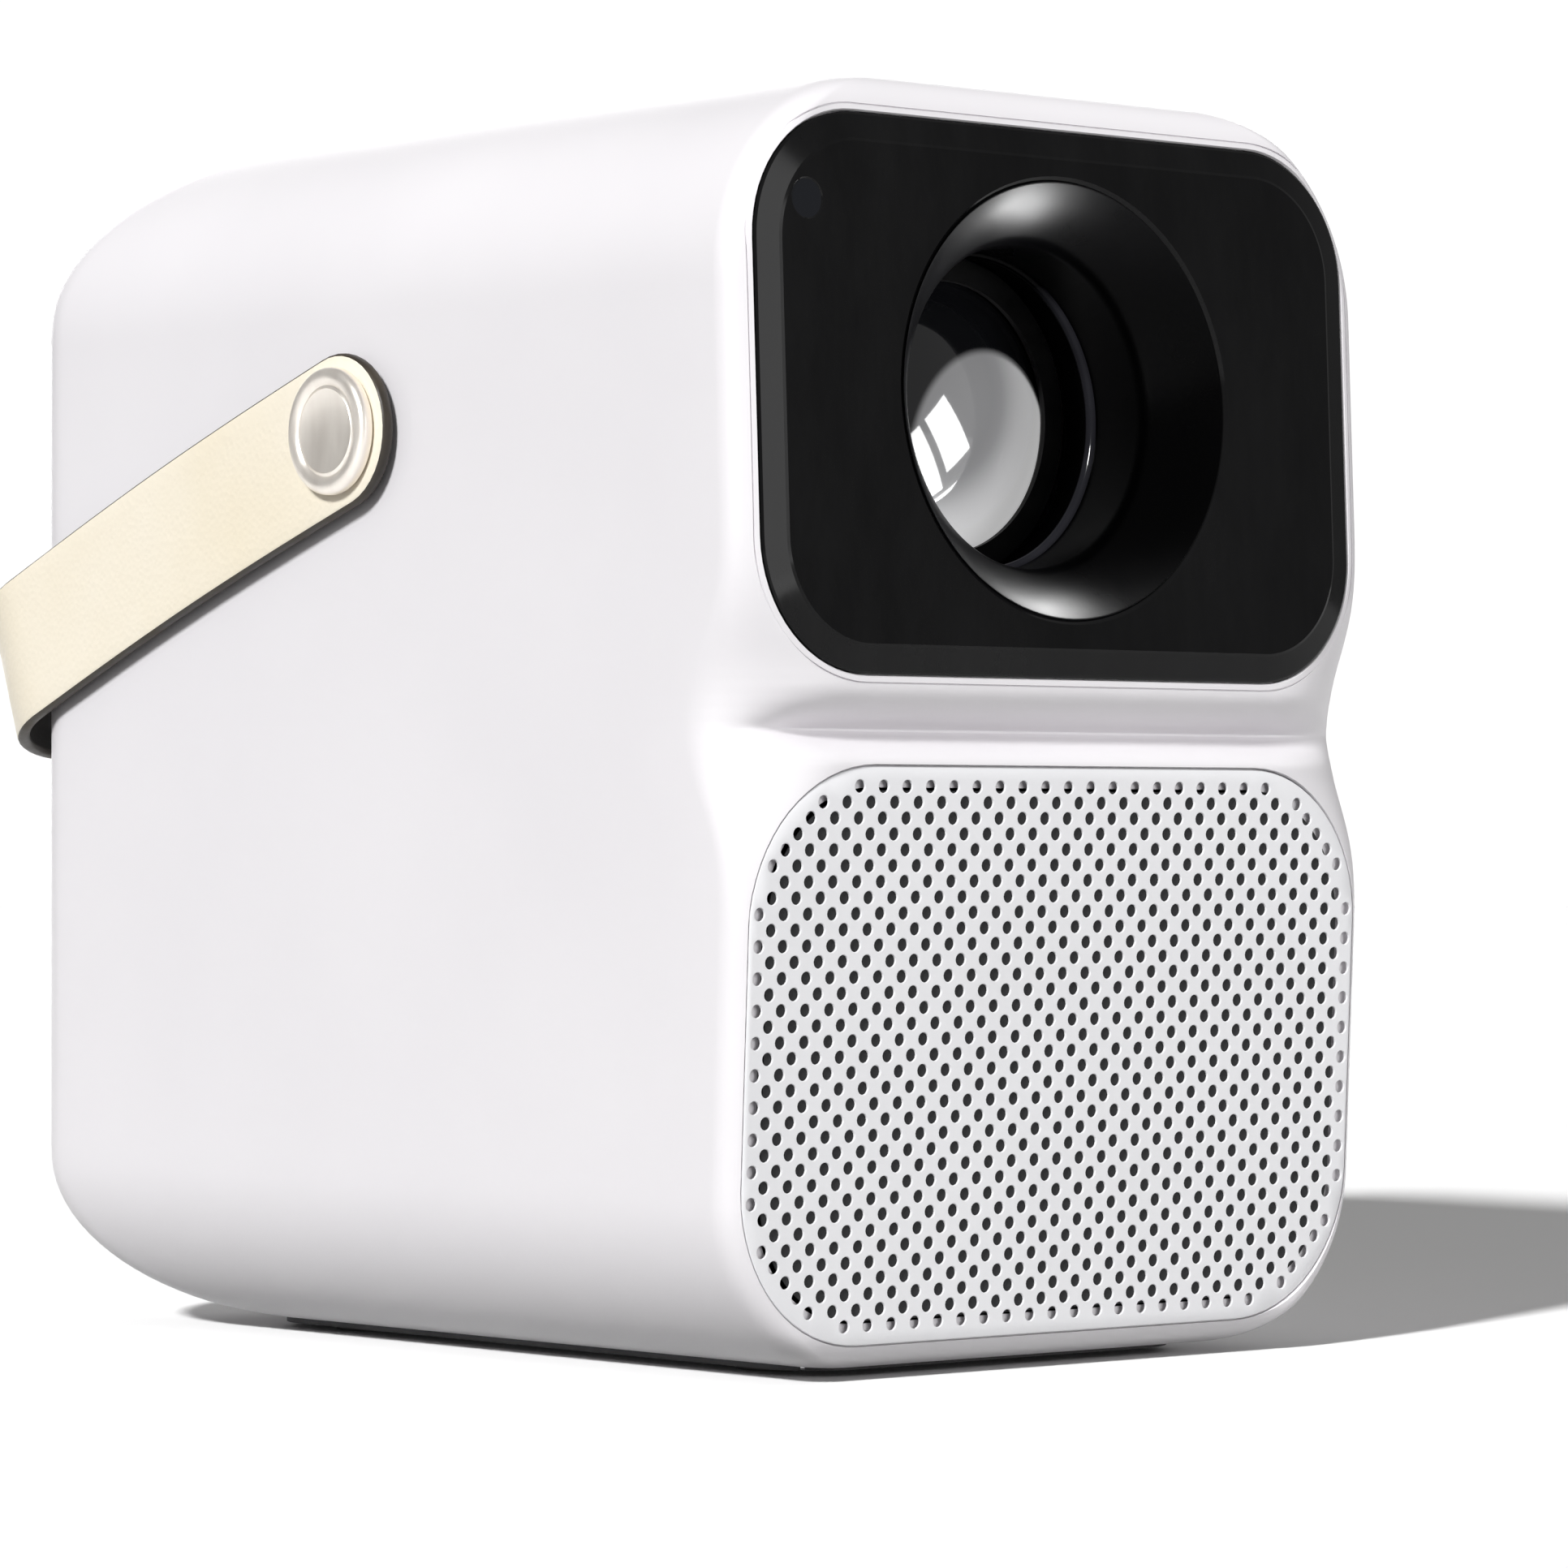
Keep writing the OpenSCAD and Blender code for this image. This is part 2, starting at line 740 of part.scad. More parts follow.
module heat_sink() {
    fin_step = (fin_w - fin_t) / (fin_count - 1);
    color("silver") place() difference() {
        union() {
            translate([-fin_w / 2, sink_y, lens_z - fin_h / 2]) cube([fin_w, sink_base, fin_h]);
            for (i = [0:fin_count - 1]) translate([-fin_w / 2 + i * fin_step, sink_y, lens_z - fin_h / 2])
                cube([fin_t, sink_base + fin_depth, fin_h]);
        }
        for (z = [-pipe_z, pipe_z], y = [0, pipe_pitch])
            translate([0, sink_y + sink_base + y, lens_z + z]) rotate([0, 90, 0])
                cylinder(h = 2 * fin_w, r = pipe_r + 0.05, center = true);
    }
}

module heat_pipes() {
    run = fin_w + 4;
    color("chocolate") place() for (z = [-pipe_z, pipe_z]) translate([0, sink_y + sink_base, lens_z + z]) {
        for (y = [0, pipe_pitch]) translate([-run / 2, y, 0]) rotate([0, 90, 0])
            cylinder(h = run, r = pipe_r);
        translate([run / 2, pipe_pitch / 2, 0]) rotate([0, 0, -90]) rotate_extrude(angle = 180)
            translate([pipe_pitch / 2, 0]) circle(pipe_r);
    }
}

// ---- fan ----

module fan_frame() {
    base_y0 = rear_inner - 3;
    color("black") place() translate([0, 0, fan_z]) difference() {
        union() {
            along_y(fan_y, rear_inner) difference() {
                rounded(fan_size, fan_size, 3);
                circle(fan_bore);
            }
            rod_y(0, 0, hub_r, base_y0, rear_inner);
            rod_y(0, 0, 3.5, base_y0 - 5, rear_inner);
            for (a = [45:90:315]) rotate([0, a, 0]) translate([hub_r - 1, base_y0, -1.25])
                cube([fan_bore - hub_r + 2, 3, 2.5]);
        }
        rod_y(0, 0, axle_r + 0.05, base_y0 - 6, rear_inner - 1);
        for (x = [-fan_screw_at, fan_screw_at], z = [-fan_screw_at, fan_screw_at])
            rod_y(x, z, 2, fan_y - 1, rear_inner + 1);
    }
}

module fan_rotor() {
    hub_y0 = fan_y + 0.8;
    hub_y1 = rear_inner - 3.6;
    color("dimgray") place() translate([0, 0, fan_z]) {
        difference() {
            union() {
                rod_y(0, 0, hub_r, hub_y0, hub_y1);
                intersection() {
                    rod_y(0, 0, fan_bore - 0.7, hub_y0, hub_y1);
                    for (k = [0:blades - 1]) rotate([0, 360 / blades * k, 0])
                        translate([hub_r - 1, (hub_y0 + hub_y1) / 2, 0]) rotate([50, 0, 0])
                            translate([0, -0.7, -9]) cube([fan_bore, 1.4, 18]);
                }
            }
            rod_y(0, 0, hub_r - 1.5, hub_y0 + 2, hub_y1 + 1);
        }
        rod_y(0, 0, axle_r, hub_y0 + 1, rear_inner - 1.2);
    }
}

// ---- frame, boards and sockets ----

module inner_frame() {
    frame_t = 2.5;
    color("lightgray") place() difference() {
        union() {
            translate([-body_w / 2 + 4, 26, frame_z]) cube([body_w - 8, 164, frame_t]);
            for (x = [-34, 34], y = [98, 144]) translate([x, y, frame_z])
                cylinder(h = lens_z - engine_h / 2 - frame_z, r = 4);
            for (x = [-50, 50], y = [108, 172]) translate([x, y, port_z])
                cylinder(h = frame_z - port_z + 1, r = 3);
        }
        translate([-12, 48, frame_z - 1]) cube([24, 46, frame_t + 2]);
        translate([-12, 100, frame_z - 1]) cube([24, 4, frame_t + 2]);
        for (x = [-60, 30]) translate([x, 40, frame_z - 1]) cube([30, 40, frame_t + 2]);
    }
}

module main_board() {
    color("darkgreen") place() {
        translate([-board_w / 2, board_y, board_z]) cube([board_w, board_l, board_t]);
        translate([-8, 122, port_z - eps]) cube([16, 16, 2]);
        for (x = [-34, 22]) translate([x, 124, port_z - eps]) cube([10, 12, 1.4]);
        for (x = [-40, -30, 30, 40]) translate([x, 150, port_z - eps]) cylinder(h = 7, r = 3);
        translate([-11, 100.5, port_z - eps]) cube([22, 1.2, 3]);
    }
}

module wireless_module() {
    color("silver") place() translate([34, 118, port_z]) cube([13, 15, 2.2]);
}

module hdmi_socket() {
    color("silver") place() translate([hdmi_x, 0, port_z + hdmi_up]) {
        difference() {
            along_y(socket_y - 12.4, socket_y) square([15, 5.8], center = true);
            along_y(socket_y - 10.4, socket_y + 1) square([14, 4.6], center = true);
        }
        along_y(socket_y - 11.4, socket_y - 1.8) square([11, 1], center = true);
    }
}

module usb_socket() {
    color("silver") place() translate([usb_x, 0, port_z + usb_up]) {
        difference() {
            along_y(socket_y - 15.4, socket_y) square([14.5, 6.8], center = true);
            along_y(socket_y - 13.4, socket_y + 1) square([12.6, 5.2], center = true);
        }
        translate([0, 0, 1.2]) along_y(socket_y - 14.4, socket_y - 1.8) square([11, 1.8], center = true);
    }
}

module audio_jack() {
    color("black") place() difference() {
        union() {
            translate([jack_x - 3.5, socket_y - 14.4, port_z]) cube([7, 12, 7]);
            rod_y(jack_x, port_z + jack_up, 3, socket_y - 5.4, socket_y);
        }
        rod_y(jack_x, port_z + jack_up, jack_r, socket_y - jack_depth, socket_y + 1);
    }
}

module power_supply() {
    color("peru") place() {
        translate([-supply_w / 2, supply_y, supply_z]) cube([supply_w, supply_l, board_t]);
        top = supply_z + board_t - eps;
        translate([-14, 116, top]) cube([26, 22, 20]);
        for (x = [-42, -28]) translate([x, 128, top]) cylinder(h = 24, r = 6);
        for (y = [112, 122, 132]) translate([42, y, top]) cylinder(h = 12, r = 4);
        translate([24, 110, top]) cube([3, 36, 16]);
        translate([-48, 104, top]) cube([20, 8, 10]);
    }
}

module mains_inlet() {
    pin_x = 4.3;
    color("black") place() translate([inlet_x, 0, inlet_z]) {
        difference() {
            union() {
                along_y(socket_y - 19.4, socket_y) rounded(21.6, 12.6, 5.8);
                along_y(rear_inner - 2.5, rear_inner) rounded(30, 20, 3);
            }
            along_y(socket_y - 14.4, socket_y + 1) {
                square([2 * pin_x, 8.4], center = true);
                for (s = [-1, 1]) translate([s * pin_x, 0]) circle(4.2);
            }
        }
        for (s = [-1, 1]) rod_y(s * pin_x, 0, 1.2, socket_y - 23.4, socket_y - 2.8);
    }
}

// ---- power button ----

module power_button() {
    color("whitesmoke") place() translate([0, button_y, 0]) {
        stem_foot = switch_z + switch_h + button_travel + 0.3;
        translate([0, 0, button_foot]) cylinder(h = body_h - button_foot, r = button_r);
        translate([0, 0, button_foot]) cylinder(h = 3.7, r = button_flange);
        translate([0, 0, stem_foot]) cylinder(h = button_foot - stem_foot + 1, r = 2);
    }
}

// Rings of a round wire along a helix, from z0 to z1
module coil_spring(radius, wire, turns, z0, z1) {
    sides = 8;
    per_turn = 14;
    rings = turns * per_turn;
    travel = z1 - z0 - 2 * wire;
    points = [
        for (i = [0:rings], s = [0:sides - 1])
            let (
                a = 360 * i / per_turn,
                q = 360 * s / sides,
                r = radius + wire * cos(q)
            )
            [r * cos(a), r * sin(a), z0 + wire + travel * i / rings + wire * sin(q)]
    ];
    side_faces = [
        for (i = [0:rings - 1], s = [0:sides - 1])
            let (n = (s + 1) % sides)
            [i * sides + s, i * sides + n, (i + 1) * sides + n, (i + 1) * sides + s]
    ];
    first = [for (s = [sides - 1:-1:0]) s];
    last = [for (s = [0:sides - 1]) rings * sides + s];
    polyhedron(points, concat(side_faces, [first, last]));
}

module button_spring() {
    color("silver") place() translate([0, button_y, 0])
        coil_spring(5.6, 0.3, 5, spring_z, button_foot);
}

module button_switch() {
    color("darkgreen") place() translate([0, button_y, switch_z]) {
        for (x = [-9, 9]) translate([x, 0, 1.3]) cube([3, 8, 2.6], center = true);
        translate([-11, -9, 2.5]) cube([22, 18, board_t]);
        translate([-3.2, -3.2, 4]) cube([6.4, 6.4, switch_h - 4]);
    }
}

// ---- strap ----

// The strap's own frame: the pivots on X, and +Y along its arms
module in_strap() {
    translate([0, pivot_y, pivot_z]) rotate([-strap_droop, 0, 0]) children();
}

module carry_strap() {
    outer_x = strap_x + strap_t;
    color("cornsilk") place() in_strap() difference() {
        intersection() {
            translate([0, 0, -strap_w / 2]) linear_extrude(strap_w) difference() {
                translate([0, strap_reach - 100]) rounded(2 * outer_x, 200, strap_bend + strap_t);
                translate([0, strap_reach - strap_t - 100]) rounded(2 * strap_x, 200, strap_bend);
            }
            union() {
                rotate([0, 90, 0]) cylinder(h = 3 * body_w, r = strap_w / 2, center = true);
                translate([-body_w, 0, -strap_w]) cube([2 * body_w, 2 * strap_reach, 2 * strap_w]);
            }
        }
        rotate([0, 90, 0]) cylinder(h = 3 * body_w, r = strap_hole_r, center = true);
    }
}

// Draws its children on the right side, with Z along +X from the pivot, and mirrors them to the left
module both_sides() {
    for (s = [0, 1]) mirror([s, 0, 0]) translate([0, pivot_y, pivot_z]) rotate([0, 90, 0]) children();
}

module strap_buttons() {
    head_x = strap_x + strap_t + 0.3;
    color("tan") place() both_sides() {
        translate([0, 0, head_x]) cylinder(h = head_t - 0.8, r = head_r);
        translate([0, 0, head_x]) cylinder(h = head_t, r = head_r - 1.2);
        translate([0, 0, body_w / 2 - 9]) cylinder(h = head_x - body_w / 2 + 9 + eps, r = neck_r);
    }
}

module strap_washers() {
    color("gray") place() both_sides() translate([0, 0, body_w / 2]) difference() {
        cylinder(h = 0.8, r = 10);
        translate([0, 0, -1]) cylinder(h = 4, r = neck_r + fit);
    }
}

module strap_nuts() {
    color("silver") place() both_sides() translate([0, 0, body_w / 2 - wall - 4]) difference() {
        cylinder(h = 4, r = 7.5, $fn = 6);
        translate([0, 0, -1]) cylinder(h = 6, r = neck_r);
    }
}

outer_shell();
rear_cover();
base_plate();
rubber_feet();
tripod_insert();
base_screws();
rear_screws();
front_window();
lens_funnel();
autofocus_camera();
infrared_receiver();
speaker_grille();
speaker_box();
speaker_basket();
speaker_surround();
speaker_cone();
speaker_magnet();
speaker_screws();
lens_barrel();
front_lens();
middle_lens();
rear_lens();
lens_mount();
focus_ring();
focus_pinion();
focus_motor();
engine_housing();
engine_lid();
front_fresnel();
lcd_panel();
lcd_ribbon();
heat_glass();
rear_fresnel();
condenser_lens();
led_module();
heat_sink();
heat_pipes();
fan_frame();
fan_rotor();
inner_frame();
main_board();
hdmi_socket();
usb_socket();
audio_jack();
wireless_module();
power_supply();
mains_inlet();
power_button();
button_spring();
button_switch();
carry_strap();
strap_buttons();
strap_washers();
strap_nuts();
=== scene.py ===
"""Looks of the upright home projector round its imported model.

Finished meshes, materials, floor, light and camera. The object's sizes are in millimetres, and at()
turns them into metres in the shared frame. Lamps are in metres.
"""
import json
import math

import bmesh
import bpy
import numpy as np
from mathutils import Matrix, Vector
from mathutils.geometry import delaunay_2d_cdt

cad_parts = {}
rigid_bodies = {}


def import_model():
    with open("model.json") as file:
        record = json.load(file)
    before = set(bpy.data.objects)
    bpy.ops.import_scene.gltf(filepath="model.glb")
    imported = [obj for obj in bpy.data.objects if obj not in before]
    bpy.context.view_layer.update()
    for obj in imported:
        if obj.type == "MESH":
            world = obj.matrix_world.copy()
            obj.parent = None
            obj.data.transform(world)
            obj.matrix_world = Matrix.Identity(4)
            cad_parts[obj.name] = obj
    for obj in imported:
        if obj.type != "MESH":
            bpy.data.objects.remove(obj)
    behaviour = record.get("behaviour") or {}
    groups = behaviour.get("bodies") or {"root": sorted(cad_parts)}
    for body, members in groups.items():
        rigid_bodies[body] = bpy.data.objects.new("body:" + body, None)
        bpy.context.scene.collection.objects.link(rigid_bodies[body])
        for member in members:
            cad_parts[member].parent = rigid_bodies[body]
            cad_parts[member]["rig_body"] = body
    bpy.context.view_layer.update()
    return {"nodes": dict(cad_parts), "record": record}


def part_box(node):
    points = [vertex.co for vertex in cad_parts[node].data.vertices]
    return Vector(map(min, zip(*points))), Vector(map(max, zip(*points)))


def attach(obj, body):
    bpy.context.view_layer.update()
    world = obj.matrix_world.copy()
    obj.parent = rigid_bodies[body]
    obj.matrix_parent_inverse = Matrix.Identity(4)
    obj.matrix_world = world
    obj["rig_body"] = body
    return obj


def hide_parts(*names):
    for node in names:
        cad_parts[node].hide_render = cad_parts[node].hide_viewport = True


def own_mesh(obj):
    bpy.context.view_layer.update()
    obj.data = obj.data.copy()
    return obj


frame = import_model()

# ---- sizes, in millimetres; x across, y from the front plane to the back, z up from the table ----

MM = 0.001
SHELL_LOW, SHELL_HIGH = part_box("outer_shell")
FRONT = SHELL_LOW.y
WIDTH = (SHELL_HIGH.x - SHELL_LOW.x) / MM
DEPTH = (SHELL_HIGH.y - SHELL_LOW.y) / MM
TOP = SHELL_HIGH.z / MM
BOTTOM = SHELL_LOW.z / MM

# Casing: corner radii from the front, from the side and from above, the wall, the gap round what is
# let into it, and the ledges that those parts sit on
TOP_R, BOTTOM_R = 35, 29
REAR_R, FRONT_SIDE_R = 30, 7
REAR_PLAN_R, REAR_PLAN_GROWTH = 14, 12
WALL, GAP, LEDGE, SEAT = 3.2, 0.25, 4, 3.5

# The groove between the two leaning blocks of the front, and how the front's side edges widen there
WAIST_TOP, WAIST_BOTTOM, WAIST_Z, WAIST_DEPTH = 114.8, 101.5, 107, 9.5
UPPER_CURVE, LOWER_CURVE, GROOVE_ROUNDING, GROOVE_FADE = 2.4, 1.7, 0.8, 24
EDGE_R, EDGE_BLEND, EDGE_ROUNDING, WAIST_NARROWING, WAIST_SETBACK = 5, 22, 9, 20, 10
WINDOW_LEAN, GRILLE_LEAN = math.radians(2.3), math.radians(2.6)

# Window, funnel and lens. The funnel's axis meets the lens' axis at the depth FUNNEL_AIM
WINDOW_W, WINDOW_H, WINDOW_R, WINDOW_Z = 135, 92, 22, 162
WINDOW_PROUD, WINDOW_BEVEL, WINDOW_BACK = 1.2, 4.4, 2.2
FRAME_W, LINE_W, LINE_DEPTH = 1.3, 0.3, 0.6
MOUTH_R, THROAT_R, FUNNEL_DEPTH, FUNNEL_AIM = 37, 28.4, 29.5, 28
WELL_R, CONE_DEPTH, CONE_BEND = 27.4, 8.6, 5
EYE_X, EYE_RISE, EYE_R = -57, 31, 3.2
LENS_Z, LENS_R, LENS_Y, LENS_BULGE, LENS_T = 161.5, 24, 33, 5, 5

# Grille, its field of holes, and the cloth behind it
GRILLE_W, GRILLE_H, GRILLE_R, GRILLE_Z = 139, 95, 26, 53.5
GRILLE_FRONT, GRILLE_T, GRILLE_SEAT = 0.3, 0.35, 1.5
HOLE_PITCH, HOLE_R, HOLE_LIP, ROWS, COLUMNS = 2.6, 1.1, 0.1, 17, 26
FIELD_RX, FIELD_RZ = 23, 21
CLOTH_MARGIN, CLOTH_FRONT, CLOTH_BACK = 4, 0.7, 0.95

# Rear cover, base and power button
REAR_W, REAR_H, REAR_CORNER, REAR_Z, REAR_INNER = 116, 146, 16, 107, DEPTH - 2.8
BASE_W, BASE_L, BASE_R, BASE_Y, BASE_TOP = 90, 152, 12, 92, 3.6
BUTTON_Y, BUTTON_R, BUTTON_TRAVEL = 120, 7, 1.2

# Strap and its buttons
PIVOT_Y, PIVOT_Z = 103.5, 159.3
STRAP_X, STRAP_T, STRAP_W, STRAP_REACH = 73.6, 2.4, 27, 126
STRAP_BEND, STRAP_DROOP, STRAP_BOW = 22, math.radians(20), 1.0
NECK_R, HEAD_R, HEAD_T = 4, 11, 2.5

# Screws, and how far from the middle of the base and the rear cover they sit
SCREW_R, SCREW_LENGTH, SCREW_HEAD_R, SCREW_HEAD_T = 1.25, 9.0, 2.7, 1.2
SOCKET_R, SOCKET_DEPTH = 1.25, 0.9
BASE_SCREW_X, BASE_SCREW_Y, BASE_SCREW_SINK = 40, 70, 1
REAR_SCREW_X, REAR_SCREW_Z, REAR_SCREW_SINK = 50, 65, 0.4


def at(x, y, z):
    """A point of the design, in metres in the shared frame."""
    return Vector((x * MM, FRONT + y * MM, z * MM))


def leaning(z0, angle):
    """The map of (x, depth, height) in a plane that leans by angle about the front at height z0."""
    c, s = math.cos(angle), math.sin(angle)
    return lambda x, y, up: at(x, y * c - up * s, z0 + y * s + up * c)


in_window = leaning(WAIST_TOP, -WINDOW_LEAN)
in_grille = leaning(WAIST_BOTTOM, GRILLE_LEAN)
WINDOW_UP = (WINDOW_Z - WAIST_TOP) / math.cos(WINDOW_LEAN)
FUNNEL_UP = (LENS_Z - WAIST_TOP + FUNNEL_AIM * math.sin(WINDOW_LEAN)) / math.cos(WINDOW_LEAN)
EYE_UP = WINDOW_UP + EYE_RISE
GRILLE_UP = GRILLE_Z - WAIST_BOTTOM

# ---- mesh helpers ----


def arc(cx, cy, r, a0, a1, n):
    """n + 1 points of an arc from a0 to a1 degrees."""
    angles = [math.radians(a0 + (a1 - a0) * i / n) for i in range(n + 1)]
    return [(cx + r * math.cos(a), cy + r * math.sin(a)) for a in angles]


def circle(r, n, cx=0.0, cy=0.0):
    return arc(cx, cy, r, 0, 360 - 360 / n, n - 1)


def rounded(w, h, r, n=16):
    """A rounded rectangle round the origin, anticlockwise, with n segments in each corner."""
    w, h = w / 2 - r, h / 2 - r
    corners = ((w, h, 0), (-w, h, 90), (-w, -h, 180), (w, -h, 270))
    return [p for x, y, a in corners for p in arc(x, y, r, a, a + 90, n)]


def grown(w, h, r, n=16):
    """The map of a margin to the rounded rectangle w by h, grown by that margin on every side."""
    return lambda margin: rounded(w + 2 * margin, h + 2 * margin, r + margin, n)


def bridge(count, a, b):
    """Quads between two closed loops whose vertices start at a and b."""
    return [(a + i, a + (i + 1) % count, b + (i + 1) % count, b + i) for i in range(count)]


def loft(rings, caps=True):
    """Vertices and faces of a skin through closed loops with the same number of points."""
    count = len(rings[0])
    verts = [p for ring in rings for p in ring]
    faces = [f for k in range(len(rings) - 1) for f in bridge(count, k * count, (k + 1) * count)]
    if caps:
        faces += [tuple(reversed(range(count))), tuple(range(len(verts) - count, len(verts)))]
    return verts, faces


def joined(parts):
    """Vertices and faces of several meshes as one."""
    verts, faces = [], []
    for part_verts, part_faces in parts:
        faces += [tuple(i + len(verts) for i in face) for face in part_faces]
        verts += part_verts
    return verts, faces


def inside(outline, holes, extra=()):
    """The points and the triangles of a flat outline without its holes, all of them convex."""
    points, edges, ring_of = [], [], []
    for number, ring in enumerate([outline, *holes]):
        first = len(points)
        points += [Vector(p) for p in ring]
        edges += [(first + i, first + (i + 1) % len(ring)) for i in range(len(ring))]
        ring_of += [number] * len(ring)
    points += [Vector(p) for p in extra]
    ring_of += [0] * len(extra)
    flat, _, tris, _, _, _ = delaunay_2d_cdt(points, edges, [], 1, 1e-7)
    kept = [tuple(t) for t in tris if ring_of[t[0]] == 0 or len({ring_of[i] for i in t}) > 1]
    return [tuple(p) for p in flat], kept


def mesh_of(name, verts, faces):
    mesh = bpy.data.meshes.new(name)
    mesh.from_pydata([tuple(v) for v in verts], [], faces)
    return mesh


def added(name, data):
    """A new object in the scene."""
    obj = bpy.data.objects.new(name, data)
    bpy.context.scene.collection.objects.link(obj)
    return obj


def piece(name, shape, finishes, replaces, body="casing", sharp=35, index=None):
    """A finished mesh piece that rides on a CAD body and stands for the nodes it replaces.

    shape is its vertices and faces, and index says which of the finishes each face has; without it,
    every face has the first. Edges sharper than sharp degrees stay crisp.
    """
    mesh = mesh_of(name, *shape)
    for finish_name in finishes:
        mesh.materials.append(FINISHES[finish_name])
    if index is not None:
        mesh.polygons.foreach_set("material_index", index)
    obj = added(name, mesh)
    tidy(obj, sharp)
    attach(obj, body)
    if replaces:
        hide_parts(*replaces)
    return obj


def tidy(obj, sharp, width=0.0):
    """Joins doubles, faces everything outward, bevels the edges sharper than sharp degrees by width
    in mm, and shades the others smooth."""
    b = bmesh.new()
    b.from_mesh(obj.data)
    bmesh.ops.remove_doubles(b, verts=b.verts, dist=1e-6)
    bmesh.ops.recalc_face_normals(b, faces=b.faces)
    limit = math.radians(sharp)
    if width:
        bmesh.ops.dissolve_limit(b, angle_limit=math.radians(1), verts=b.verts, edges=b.edges)
        edges = [e for e in b.edges if e.is_manifold and e.calc_face_angle(0) > limit]
        style = {"segments": 2, "profile": 0.6, "affect": "EDGES", "clamp_overlap": True}
        bmesh.ops.bevel(b, geom=edges, offset=width * MM, **style)
    for e in b.edges:
        e.smooth = not (e.is_manifold and e.calc_face_angle(0) > limit)
    for f in b.faces:
        f.smooth = True
    b.to_mesh(obj.data)
    b.free()


def plate(walls, place):
    """Vertices and faces of a plate. Each wall is a list of (outline, depth) from its back to its
    front: first the wall round the outside, then the wall of each hole."""
    verts, faces = [], []

    def add(loop, depth):
        verts.extend(place(x, depth, z) for x, z in loop)
        return len(verts) - len(loop)

    for end in (0, -1):
        flat, tris = inside(walls[0][end][0], [wall[end][0] for wall in walls[1:]])
        first = add(flat, walls[0][end][1])
        faces += [tuple(first + i for i in t) for t in tris]
    for wall in walls:
        starts = [add(*step) for step in wall]
        for a, b in zip(starts, starts[1:]):
            faces += bridge(len(wall[0][0]), a, b)
    return verts, faces


def revolve(profile, place, n=96):
    """Vertices and faces of a profile of (radius, distance) turned round the axis of place. It
    closes on itself, or starts or ends on the axis."""
    rings = [[place(x, d, y) for x, y in circle(max(r, 1e-4), n)] for r, d in profile]
    verts, faces = loft(rings, caps=False)
    if profile[0][0] and profile[-1][0]:
        faces += bridge(n, len(verts) - n, 0)
    return verts, faces


def cut(obj, cutters):
    """Takes the closed meshes away from obj."""
    tool = added("cutter", mesh_of("cutter", *joined(cutters)))
    tidy(tool, 35)
    apply(obj, "BOOLEAN", operation="DIFFERENCE", solver="EXACT", object=tool)
    bpy.data.objects.remove(tool)


def apply(obj, kind, **settings):
    """Adds a modifier to obj and applies it."""
    modifier = obj.modifiers.new(kind, kind)
    for key, value in settings.items():
        setattr(modifier, key, value)
    depsgraph = bpy.context.evaluated_depsgraph_get()
    mesh = bpy.data.meshes.new_from_object(obj.evaluated_get(depsgraph))
    obj.modifiers.clear()
    obj.data = mesh


# ---- materials ----


def shader(name, **sockets):
    """A new material, with values set straight on the principled shader's sockets."""
    m = bpy.data.materials.new(name)
    m.use_nodes = True
    bsdf = m.node_tree.nodes["Principled BSDF"]
    for key, value in sockets.items():
        socket = bsdf.inputs[key.replace("_", " ")]
        socket.default_value = (*value, 1.0) if isinstance(value, tuple) else value
    return m


def node(m, kind, inputs=(), **settings):
    """A node of material m, with its settings, and its inputs set or linked."""
    n = m.node_tree.nodes.new(kind)
    for key, value in settings.items():
        setattr(n, key, value)
    for key, value in dict(inputs).items():
        if isinstance(value, bpy.types.NodeSocket):
            m.node_tree.links.new(value, n.inputs[key])
        else:
            n.inputs[key].default_value = value
    return n


def link(m, socket, name):
    m.node_tree.links.new(socket, m.node_tree.nodes["Principled BSDF"].inputs[name])


def place_on(m, stretch=(1, 1, 1)):
    """Object coordinates, in metres, stretched."""
    source = node(m, "ShaderNodeTexCoord").outputs["Object"]
    return node(m, "ShaderNodeMapping", {"Vector": source, "Scale": stretch}).outputs["Vector"]


def noise(m, vector, scale, detail=3.0, rough=0.5):
    inputs = {"Vector": vector, "Scale": scale, "Detail": detail, "Roughness": rough}
    return node(m, "ShaderNodeTexNoise", inputs).outputs["Fac"]


def ramp(m, factor, low, high, start=0.3, end=0.7):
    """A colour that goes from low to high as factor goes from start to end."""
    r = node(m, "ShaderNodeValToRGB", {"Fac": factor})
    for stop, place, colour in zip(r.color_ramp.elements, (start, end), (low, high)):
        stop.position = place
        stop.color = (*colour, 1)
    return r.outputs["Color"]


def spread(m, factor, low, high):
    """factor, which lies mostly between 0.3 and 0.7, spread over low to high."""
    inputs = {"Value": factor, "From Min": 0.3, "From Max": 0.7, "To Min": low, "To Max": high}
    return node(m, "ShaderNodeMapRange", inputs).outputs["Result"]


def bump(m, height, distance, strength=1.0, below=None):
    inputs = {"Height": height, "Distance": distance, "Strength": strength}
    if below is not None:
        inputs["Normal"] = below
    return node(m, "ShaderNodeBump", inputs).outputs["Normal"]


def finish(name, low, high, rough, mottle, grain, depth, stretch=(1, 1, 1), **sockets):
    """A surface whose colour and roughness vary softly, with a fine grain in relief."""
    m = shader(name, **sockets)
    vector = place_on(m, stretch)
    soft = noise(m, vector, mottle)
    link(m, ramp(m, soft, low, high), "Base Color")
    link(m, spread(m, soft, *rough), "Roughness")
    link(m, bump(m, noise(m, vector, grain, 4.0, 0.6), depth), "Normal")
    return m


